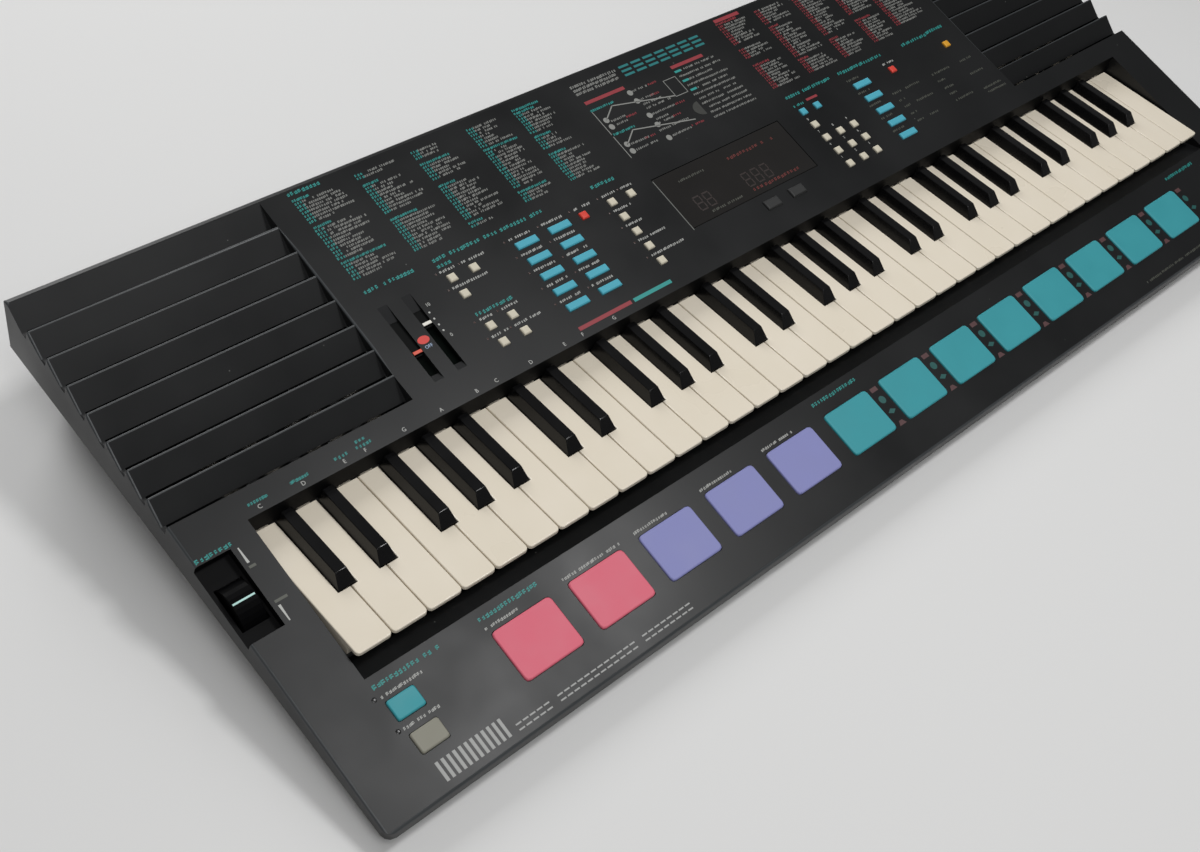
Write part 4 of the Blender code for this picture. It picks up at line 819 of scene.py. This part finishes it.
class KEYBOARD_OT_black_keys(bpy.types.Operator):
    """Five combs of black keys with polished, rounded edges"""
    bl_idname = "keyboard.build_black_keys"
    bl_label = "Black keys"

    def execute(self, context):
        settings = context.scene.portable_keyboard.keys
        gloss = gloss_black_abs()
        finger = both(lambda p: p.z > KEY_TOP - 0.2 * MM and p.y < 0.0045)

        def nose_diagonal(a, b):
            """The diagonal from a nose's top corner down to its foot."""
            high, low = max(a.z, b.z), min(a.z, b.z)
            return max(a.y, b.y) < -41 * MM and high > BLACK_TOP and low < KEY_TOP - 1 * MM

        for node in sorted(frame["nodes"]):
            if node.startswith("black_keys_"):
                points = [vert.co for vert in frame["nodes"][node].data.vertices]
                across = sorted(point.x for point in points if point.z > BLACK_TOP)
                centres = middles(across, 8 * MM)

                def widened(point):
                    """Widens each key's top, which stays within its foot."""
                    if point.z < BLACK_TOP:
                        return point
                    centre = min(centres, key=lambda x: abs(x - point.x))
                    outwards = math.copysign(settings.top_widening * MM, point.x - centre)
                    return point + Vector((outwards, 0, 0))

                refined(node, node.replace("black_keys", "polished_keys"), [(settings.black_edge, finger)],
                        [gloss], moved=widened, turned=nose_diagonal)
        return {"FINISHED"}


class KEYBOARD_OT_pads(bpy.types.Operator):
    """Thirteen rubber pads in three colours"""
    bl_idname = "keyboard.build_pads"
    bl_label = "Pads"

    def execute(self, context):
        settings = context.scene.portable_keyboard.pads
        web = silicone("grey rubber web", colour("#2c2c2c"))
        for node, tint, slot in (
                ("start_pads", settings.pink, "pink_rubber"),
                ("fill_in_pads", settings.purple, "purple_rubber"),
                ("percussion_pads", settings.teal, "teal_rubber")):
            rubber = silicone(slot.replace("_", " "), tuple(tint))
            refined(node, node.replace("pads", "pad_caps"), [(settings.edge, over(CAP_TOP))],
                    [web, rubber], cap)
        return {"FINISHED"}


class KEYBOARD_OT_buttons(bpy.types.Operator):
    """Panel buttons, each in its own colour"""
    bl_idname = "keyboard.build_buttons"
    bl_label = "Buttons"

    def execute(self, context):
        pads = context.scene.portable_keyboard.pads
        web = silicone("black rubber web", colour("#1b1b1b"))
        teal = silicone("bright teal rubber", colour("#45aabf"))
        deep = silicone("teal rubber of the drummer button", tuple(pads.teal))
        grey = silicone("warm grey rubber", colour("#8b897c"))
        cream = silicone("cream rubber", colour("#d3ccb8"))
        red = silicone("red rubber", colour("#dc3f30"), 0.42)
        yellow = silicone("amber rubber", colour("#dd9f1c"), 0.42)
        smoke = silicone("smoke grey rubber", colour("#191a1a"))

        def drummer(point, normal):
            """Teal behind and grey in front."""
            return 0 if plan(point)[2] < WEB_END else 1 + int(point.y < -111.5 * MM)

        def memory(point, normal):
            """Teal, with the round button at the right in red."""
            return 0 if plan(point)[2] < WEB_END else 1 + int(point.x > -106 * MM)

        def right(point, normal):
            """Colours from left to right: display keys, number keys, choices, stop and tuning."""
            x, y, height = plan(point)
            if height < WEB_END:
                return 0
            if x < 50:
                return 5
            if x < 120:
                return 1 if y > 56 else 2
            if x < 155:
                return 1
            return 3 if x < 200 else 4

        for group, edge, slot, finishes, paint in (
                ("drummer", 0.35, "teal_rubber", [web, deep, grey], drummer),
                ("song_memory", 0.3, "teal_rubber", [web, teal, red], memory),
                ("left_function", 0.3, "cream_button", [web, cream], cap),
                ("right_function", 0.3, "cream_button", [web, teal, cream, red, yellow, smoke], right)):
            refined(group + "_buttons", group + "_caps", [(edge, over(CAP_TOP))], finishes, paint)
        return {"FINISHED"}


class KEYBOARD_OT_sliders(bpy.types.Operator):
    """Power and volume sliders with their painted marks"""
    bl_idname = "keyboard.build_sliders"
    bl_label = "Sliders"

    def execute(self, context):
        track = moulded("satin black ABS", colour("#0b0c0c"), colour("#111212"), 0.5, drift=20, ior=1.15)
        red = ink("red mark paint", "#e2604c")
        white = ink("white mark paint", "#efece2")
        for node, mark in (("power_slider", red), ("volume_slider", white)):
            refined(node, node.replace("slider", "slide"), [(0.25, over(0))], [track, mark],
                    lambda point, normal: cap(point, normal, -0.5))
        return {"FINISHED"}


class KEYBOARD_OT_wheel(bpy.types.Operator):
    """Sprung pitch wheel with its pale mid line"""
    bl_idname = "keyboard.build_wheel"
    bl_label = "Pitch wheel"

    def execute(self, context):
        wheel = moulded("satin black ABS of the wheel", colour("#050506"), colour("#09090a"), 0.45,
                        drift=10, ior=1.1)
        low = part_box("pitch_bend_wheel")[0]

        def eased(point):
            """Keeps the wheel's outer face clear of the case wall at the end of its swing."""
            return Vector((max(point.x, low.x + 0.5 * MM), point.y, point.z))

        refined("pitch_bend_wheel", "polished_wheel", [], [wheel], moved=eased)
        left, right = low.x / MM + 0.7, low.x / MM + 11.8
        bm = bmesh.new()
        slab(bm, bar(left, right, -30.0, 0.9), 0.2, 0.6)
        bmesh.ops.bevel(bm, geom=[e for e in bm.edges if all(plan(v.co)[2] > 0.5 for v in e.verts)],
                        offset=0.12 * MM, segments=2, profile=0.5, affect="EDGES")
        piece("wheel_mid_line", meshed(bm, "wheel_mid_line"), "pitch_bend_wheel",
              [ink("pale teal line paint", "#bfe9e2", 0.05)])
        return {"FINISHED"}


class KEYBOARD_OT_display(bpy.types.Operator):
    """Smoked display window and the figures behind it"""
    bl_idname = "keyboard.build_display"
    bl_label = "Display"

    def execute(self, context):
        slot = "smoked_window"
        refined("display_window", "smoked_pane", [(0.4, over(-0.1))], [smoked_acrylic()])
        small_print("display_marks", [(8, 48, 54.6), (20, 48, 30.6), (10, 16, 31)],
                    ink("dim red print", "#6e2a26", 0.3), 2.6, 2.0, 2.0, seed=3, slot=slot)
        unlit = []
        for x in (-31, -23.5, 9, 17, 25):
            unlit += [bar(x, x + 5, y, 0.9) for y in (33.5, 38, 42.5)]
            unlit += [bar(x + side, x + side + 0.9, y, 3.2) for side in (-0.4, 4.5) for y in (35.75, 40.25)]
        flat_print("unlit_digits", unlit, ink("unlit segment", "#281c19", 0.3), 0.0, 0.04)
        # Painted highlight: a pale strip where the window's left edge catches the light.
        flat_print("pane_edge_painted_highlight", [bar(-45.3, -44.7, 43.5, 36)],
                   ink("painted highlight on pane edge", "#6f716d", 0.3), 0.0, 0.05)
        return {"FINISHED"}


class KEYBOARD_OT_printing(bpy.types.Operator):
    """Lists, titles, labels, note letters and the diagram on the panel"""
    bl_idname = "keyboard.build_printing"
    bl_label = "Panel printing"

    def execute(self, context):
        settings = context.scene.portable_keyboard.printing
        teal = ink("teal screen print", "#289590")
        grey = ink("grey screen print", "#8b8c88")
        white = ink("white screen print", "#b9bab6")
        faint = ink("faint grey print", "#55574f")
        red = ink("red screen print", "#93323a")
        silver = ink("silver screen print", "#a3a4a2", 0.05)
        teal_numbers, teal_names = list_lines(TEAL_LISTS, 5)
        red_numbers, red_names = list_lines(RED_LISTS, 6)
        pairs = [(x, x + 13.5, y) for x in (-147, -124) for y in PAIRED_LABEL_HEIGHTS]
        above = [(132, 142, y + 0.3) for y in PAIRED_LABEL_HEIGHTS]
        small = settings.letter_height
        rows = (
            ("teal_numbers", teal_numbers, teal, 1.2, 0.95, small + 0.1, 1.0),
            ("grey_names", teal_names + red_names, grey, 1.2, 0.85, small, 0.86),
            ("red_numbers", red_numbers, red, 1.2, 0.95, small + 0.1, 1.0),
            ("teal_titles", TEAL_TITLES, teal, 2.2, 1.6, settings.title_height, 0.95),
            ("teal_labels", TEAL_LABELS, teal, 1.5, 1.15, small + 0.2, 0.95),
            ("white_labels", list(WHITE_LABELS) + pairs, white, 1.45, 1.05, small + 0.05, 0.93),
            ("faint_labels", list(FAINT_LABELS) + above, faint, 1.45, 1.05, small + 0.05, 0.93),
        )
        for number, row in enumerate(rows):
            small_print(*row, seed=settings.seed + number)
        letters = [(letter, x, 2.7, 2.2) for letter, x in NOTE_LETTERS]
        lettering("note_letters", letters, white)
        digits = [("0", 84, 55), ("7", 84, 45), ("4", 84, 34.6), ("1", 84, 24.2), ("8", 97, 45),
                  ("5", 97, 34.6), ("2", 97, 24.2), ("9", 110, 45), ("6", 110, 34.6), ("3", 110, 24.2)]
        digits = [(text, x - 1.5, y + 0.2, 1.7) for text, x, y in digits]
        digits += [("10", -211, 53.6, 2.0), ("0", -211, 34.2, 2.0)]
        lettering("figures", digits, white)
        flat_print("red_strips", [bar(-149, -111.5, 6, 2.2), bar(-45, -14, 121.6, 2.2),
                                  bar(25, 52, 121.6, 2.2), bar(79, 101, 139, 2.4),
                                  bar(93, 103, 67, 1.6)], red)
        flat_print("teal_strip", [bar(-109.5, -81.5, 6, 2.2)], teal)
        spot_outline = [(x * 1.55 + -225.6 * -0.55, y) for x, y in circle(-225.6, 38.2, 2.2, 24)]
        flat_print("power_spot", [spot_outline], ink("bright red print", "#d8433c"))
        lettering("power_words", [("ON", -225.6, 38.2, 2.0)], ink("pale red print", "#f0a29a"))
        lettering("off_word", [("OFF", -225.3, 34.0, 1.9)], ink("pale blue print", "#a9bfdc"))
        self.diagram(teal, red, grey)
        self.title_strip(silver, teal, grey)
        self.pad_symbols()
        wedges = [[(-363.9, -9), (-364.2, -17), (-362.9, -17), (-363.3, -9)],
                  [(-363.3, -47.6), (-362.9, -39.6), (-364.2, -39.6), (-363.9, -47.6)]]
        flat_print("bend_wedges", wedges, white)
        flat_print("bend_labels", [bar(-364.6, -361.2, -19, 1.3), bar(-364.4, -358, -37.6, 1.3)], faint)
        dots = [circle(-213.1, y, 0.55, 10) for y in (49.6, 45.6, 41.8, 38.1)]
        flat_print("volume_scale", dots, white)
        return {"FINISHED"}

    def diagram(self, teal, red, grey):
        """Two envelope curves with their markers, as such panels have."""
        strokes = []
        for base in (0, -18.8):
            points = [Vector((x, y + base)) for x, y in ((-41, 107), (-30.5, 114), (12, 104.3))]
            strokes += [stroke(a, b, 0.7) for a, b in zip(points, points[1:])]
        for x, low, high in ((-45.4, 97.5, 115), (-45.4, 80, 96)):
            strokes.append(bar(x, x + 0.5, (low + high) / 2, high - low))
        strokes += [bar(13, 22.5, 115.6, 0.4), bar(13, 22.5, 103.4, 0.4), bar(12.6, 13, 109.5, 12.4),
                    bar(22.5, 22.9, 109.5, 12.4)]
        flat_print("envelope_lines", strokes, grey)
        markers = [(-41, y) for y in (107, 102, 88.5, 83.4)]
        markers += [(-13.2, y) for y in (117, 110.6, 99.2, 92, 81.7)]
        flat_print("envelope_markers", [circle(x, y, 1.9, 18) for x, y in markers], grey)
        turns = [math.radians(90 + 15 * i) for i in range(13)]
        half = [(16 + 6.5 * math.cos(a) + 6.5, 90.5 + 5 * math.sin(a)) for a in turns]
        flat_print("half_disc", [half], ink("dark grey print", "#353633"))
        notes = [(-38, -28, 105.2), (-38, -29, 102.2), (-38, -25, 87.6), (-38, -22, 83.2),
                 (-11, 0, 117.4), (-11, 0, 110.6), (-11, 8, 104), (-11, 7, 99.2), (-11, -2, 95.2),
                 (-11, 0, 92.6), (-15, 8, 88), (-11, 5, 82), (-11, 3, 107)]
        lines = [(26, 58, 118), (26, 60, 114.2), (27, 50, 110.6), (26, 60, 107), (30, 58, 103.4),
                 (25, 60, 99.8), (26, 42, 96.2), (47, 61, 96.2), (25, 43, 92.6), (47, 60, 92.6),
                 (25, 60, 89), (26, 60, 85.4), (25, 61, 81.8)]
        reds = [(-27, -20, 104), (-27, -20, 87.4), (2.5, 8, 117.4), (-2, 4, 110.6), (8.5, 15, 99.2),
                (1, 6, 93), (7, 16, 82.6)]
        small_print("diagram_notes", notes + lines, grey, 1.35, 1.0, 1.3, seed=12)
        small_print("diagram_red_notes", reds, red, 1.35, 1.0, 1.3, seed=12)
        flat_print("diagram_teal_notes", [bar(25, 30, y, 1.5) for y in (118, 110.6, 103.4)], teal)

    def title_strip(self, silver, teal, grey):
        """Plain blocks where such instruments have their titles."""
        stripes = [bar(-349.5 + 3.1 * i, -347.9 + 3.1 * i, -135.2, 9.2) for i in range(12)]
        flat_print("front_blocks", stripes, silver)
        dashes = [bar(-309.5 + 4.05 * i, -306.4 + 4.05 * i, y, 0.7)
                  for i in range(27) for y in (-137.0, -139.6) if i not in (5, 18)]
        flat_print("front_dashes", dashes, silver)
        blocks = [bar(-7 + 9.9 * i, 0.8 + 9.9 * i, y, 1.5) for i in range(7) for y in (128.4, 131.5, 134.6)]
        flat_print("rear_blocks", blocks, ink("deep teal screen print", "#1d7577"))
        small_print("rear_lines", [(-45, -11, y) for y in (134, 131.4, 128.8)], grey, 1.7, 1.3, 1.8, seed=4)

    def pad_symbols(self):
        """Small generic signs between the drum pads: a bar, a ring, a diamond and a triangle."""
        pink = ink("dull pink print", "#573a3b")
        deep = ink("deep teal print", "#1c5653")
        bars, rings = [], []
        for x in PAD_SYMBOLS_X:
            bars.append(bar(x - 2.6, x + 2.6, -101, 2.6))
            bars.append([(x - 2.8, -125), (x + 2.8, -125), (x + 1.2, -122.3), (x - 1.2, -122.3)])
            rings.append(circle(x, -108, 2.3, 18))
            rings.append([(x - 3, -115.8), (x, -117.4), (x + 3, -115.8), (x, -114.2)])
        flat_print("pink_pad_signs", bars, pink)
        flat_print("teal_pad_signs", rings, deep)


class KEYBOARD_OT_lamps(bpy.types.Operator):
    """Small indicator lamps left of the labels"""
    bl_idname = "keyboard.build_lamps"
    bl_label = "Indicator lamps"

    def execute(self, context):
        lens = moulded("dark lamp lens", colour("#3a2b29"), colour("#54403c"), 0.25, grain=3, drift=4)
        black = moulded("black lamp lens", colour("#101011"), colour("#1a1a1b"), 0.25, grain=3, drift=4)
        for name, places, radius, height, finish in (
                ("indicator_lamps", LAMPS, 0.62, 0.25, lens),
                ("drummer_lamps", ((-354.4, -95.2), (-354, -111.6)), 1.25, 0.3, black)):
            mesh = bpy.data.meshes.new(name + " places")
            mesh.from_pydata([spot(x, y, 0.02) for x, y in places], [], [])
            grown(name, mesh, bpy.data.node_groups["indicator lamps"], {
                "Radius": radius * MM, "Height": height * MM, "Lens": finish})
        return {"FINISHED"}


class KEYBOARD_OT_sockets(bpy.types.Operator):
    """Rings and pins of the sockets in the rear wall"""
    bl_idname = "keyboard.build_sockets"
    bl_label = "Rear sockets"

    def execute(self, context):
        metal = nickel()
        rings, pins = bmesh.new(), bmesh.new()
        for x, radius in SOCKETS:
            centre = Vector((x * MM, REAR_Y, 26 * MM))
            r = radius * math.cos(math.pi / 16) - 0.12
            wall = 0.7 if radius > 5 else 0.9
            inner = r - wall
            profile = [(-2.6, r), (-0.15, r), (0.0, r - 0.15), (0.0, inner + 0.15), (-0.15, inner),
                       (-2.6, inner)]
            lathed(rings, centre, (0, 1, 0), [(t * MM, q * MM) for t, q in profile])
            if radius > 5:
                for turn in (-90, -45, 0, 45, 90):
                    a = math.radians(turn - 90)
                    place = centre + Vector((3.4 * MM * math.cos(a), 0, 3.4 * MM * math.sin(a)))
                    pin = [(-8.9, 0.0), (-8.9, 0.75), (-4.6, 0.75), (-4.2, 0.4), (-4.2, 0.0)]
                    lathed(pins, place, (0, 1, 0), [(t * MM, q * MM) for t, q in pin], 10)
        piece("socket_rings", meshed(rings, "socket_rings"), "case", [metal])
        piece("socket_pins", meshed(pins, "socket_pins"), "case", [metal])
        return {"FINISHED"}


class KEYBOARD_OT_stage(bpy.types.Operator):
    """Pale floor, soft lamps and the camera at the photograph's angle"""
    bl_idname = "keyboard.build_stage"
    bl_label = "Stage"

    def execute(self, context):
        bm = bmesh.new()
        bmesh.ops.create_grid(bm, x_segments=2, y_segments=2, size=6)
        floor = linked("studio_floor", meshed(bm, "studio_floor"))
        floor.data.materials.append(floor_paint((0.72, 0.72, 0.715)))
        self.lamp("rear_softbox", (0.0, 1.5, 1.0), (-0.1, 0.0, 0.0), 0.9, 15.0)
        self.lamp("ceiling_softbox", (0.37, -0.17, 1.4), (-0.1, -0.1, 0.0), 0.3, 7.5)
        self.lamp("fill_softbox", (-0.7, -0.8, 1.6), (0.0, 0.0, 0.0), 1.0, 12.0)
        world = bpy.data.worlds.new("even studio light")
        context.scene.world = world
        world.use_nodes = True
        world.node_tree.nodes.clear()
        sky = add(world.node_tree, "ShaderNodeBackground", {"Color": (1, 1, 1, 1), "Strength": 0.14})
        add(world.node_tree, "ShaderNodeOutputWorld", {"Surface": sky.outputs["Background"]})
        camera = linked("camera", bpy.data.cameras.new("camera"))
        # Solved from points marked on the photograph
        camera.data.lens = 45.43
        camera.data.sensor_width = 36
        camera.data.clip_start = 0.01
        ahead = Vector((0.55051734, 0.40037754, -0.7325493))
        up = Vector((0.42056492, 0.62499537, 0.65765183))
        axes = Matrix((ahead.cross(up), up, -ahead)).transposed().to_4x4()
        camera.matrix_world = Matrix.Translation((-0.58793, -0.34166, 0.58326)) @ axes
        context.scene.camera = camera
        context.scene.view_settings.view_transform = "Standard"
        return {"FINISHED"}

    def lamp(self, name, place, target, size, power):
        """A square softbox turned towards a target."""
        light = bpy.data.lights.new(name, "AREA")
        light.shape = "SQUARE"
        light.size = size
        light.energy = power
        made = linked(name, light)
        made.location = place
        made.rotation_euler = (Vector(target) - Vector(place)).to_track_quat("-Z", "Y").to_euler()


STEPS = (
    KEYBOARD_OT_case, KEYBOARD_OT_inside, KEYBOARD_OT_white_keys, KEYBOARD_OT_black_keys, KEYBOARD_OT_pads,
    KEYBOARD_OT_buttons, KEYBOARD_OT_sliders, KEYBOARD_OT_wheel, KEYBOARD_OT_display, KEYBOARD_OT_printing,
    KEYBOARD_OT_lamps, KEYBOARD_OT_sockets, KEYBOARD_OT_stage)


class KEYBOARD_PT_panel(bpy.types.Panel):
    """Lists the sizes, colours and building steps"""
    bl_label = "Portable keyboard"
    bl_idname = "KEYBOARD_PT_panel"
    bl_space_type = "VIEW_3D"
    bl_region_type = "UI"
    bl_category = "Keyboard"

    def draw(self, context):
        settings = context.scene.portable_keyboard
        for group in (settings.case, settings.keys, settings.pads, settings.printing):
            box = self.layout.box()
            for name in group.__annotations__:
                box.prop(group, name)
        for step in STEPS:
            self.layout.operator(step.bl_idname)


CLASSES = (
    CaseSettings, KeySettings, PadSettings, PrintSettings, KeyboardSettings, *STEPS, KEYBOARD_PT_panel)


def register():
    for item in CLASSES:
        bpy.utils.register_class(item)
    bpy.types.Scene.portable_keyboard = PointerProperty(type=KeyboardSettings)


def unregister():
    del bpy.types.Scene.portable_keyboard
    for item in reversed(CLASSES):
        bpy.utils.unregister_class(item)


def main():
    register()
    printed_rows_tree()
    lamp_row_tree()
    for step in STEPS:
        group, name = step.bl_idname.split(".")
        getattr(getattr(bpy.ops, group), name)()


if __name__ == "__main__":
    main()
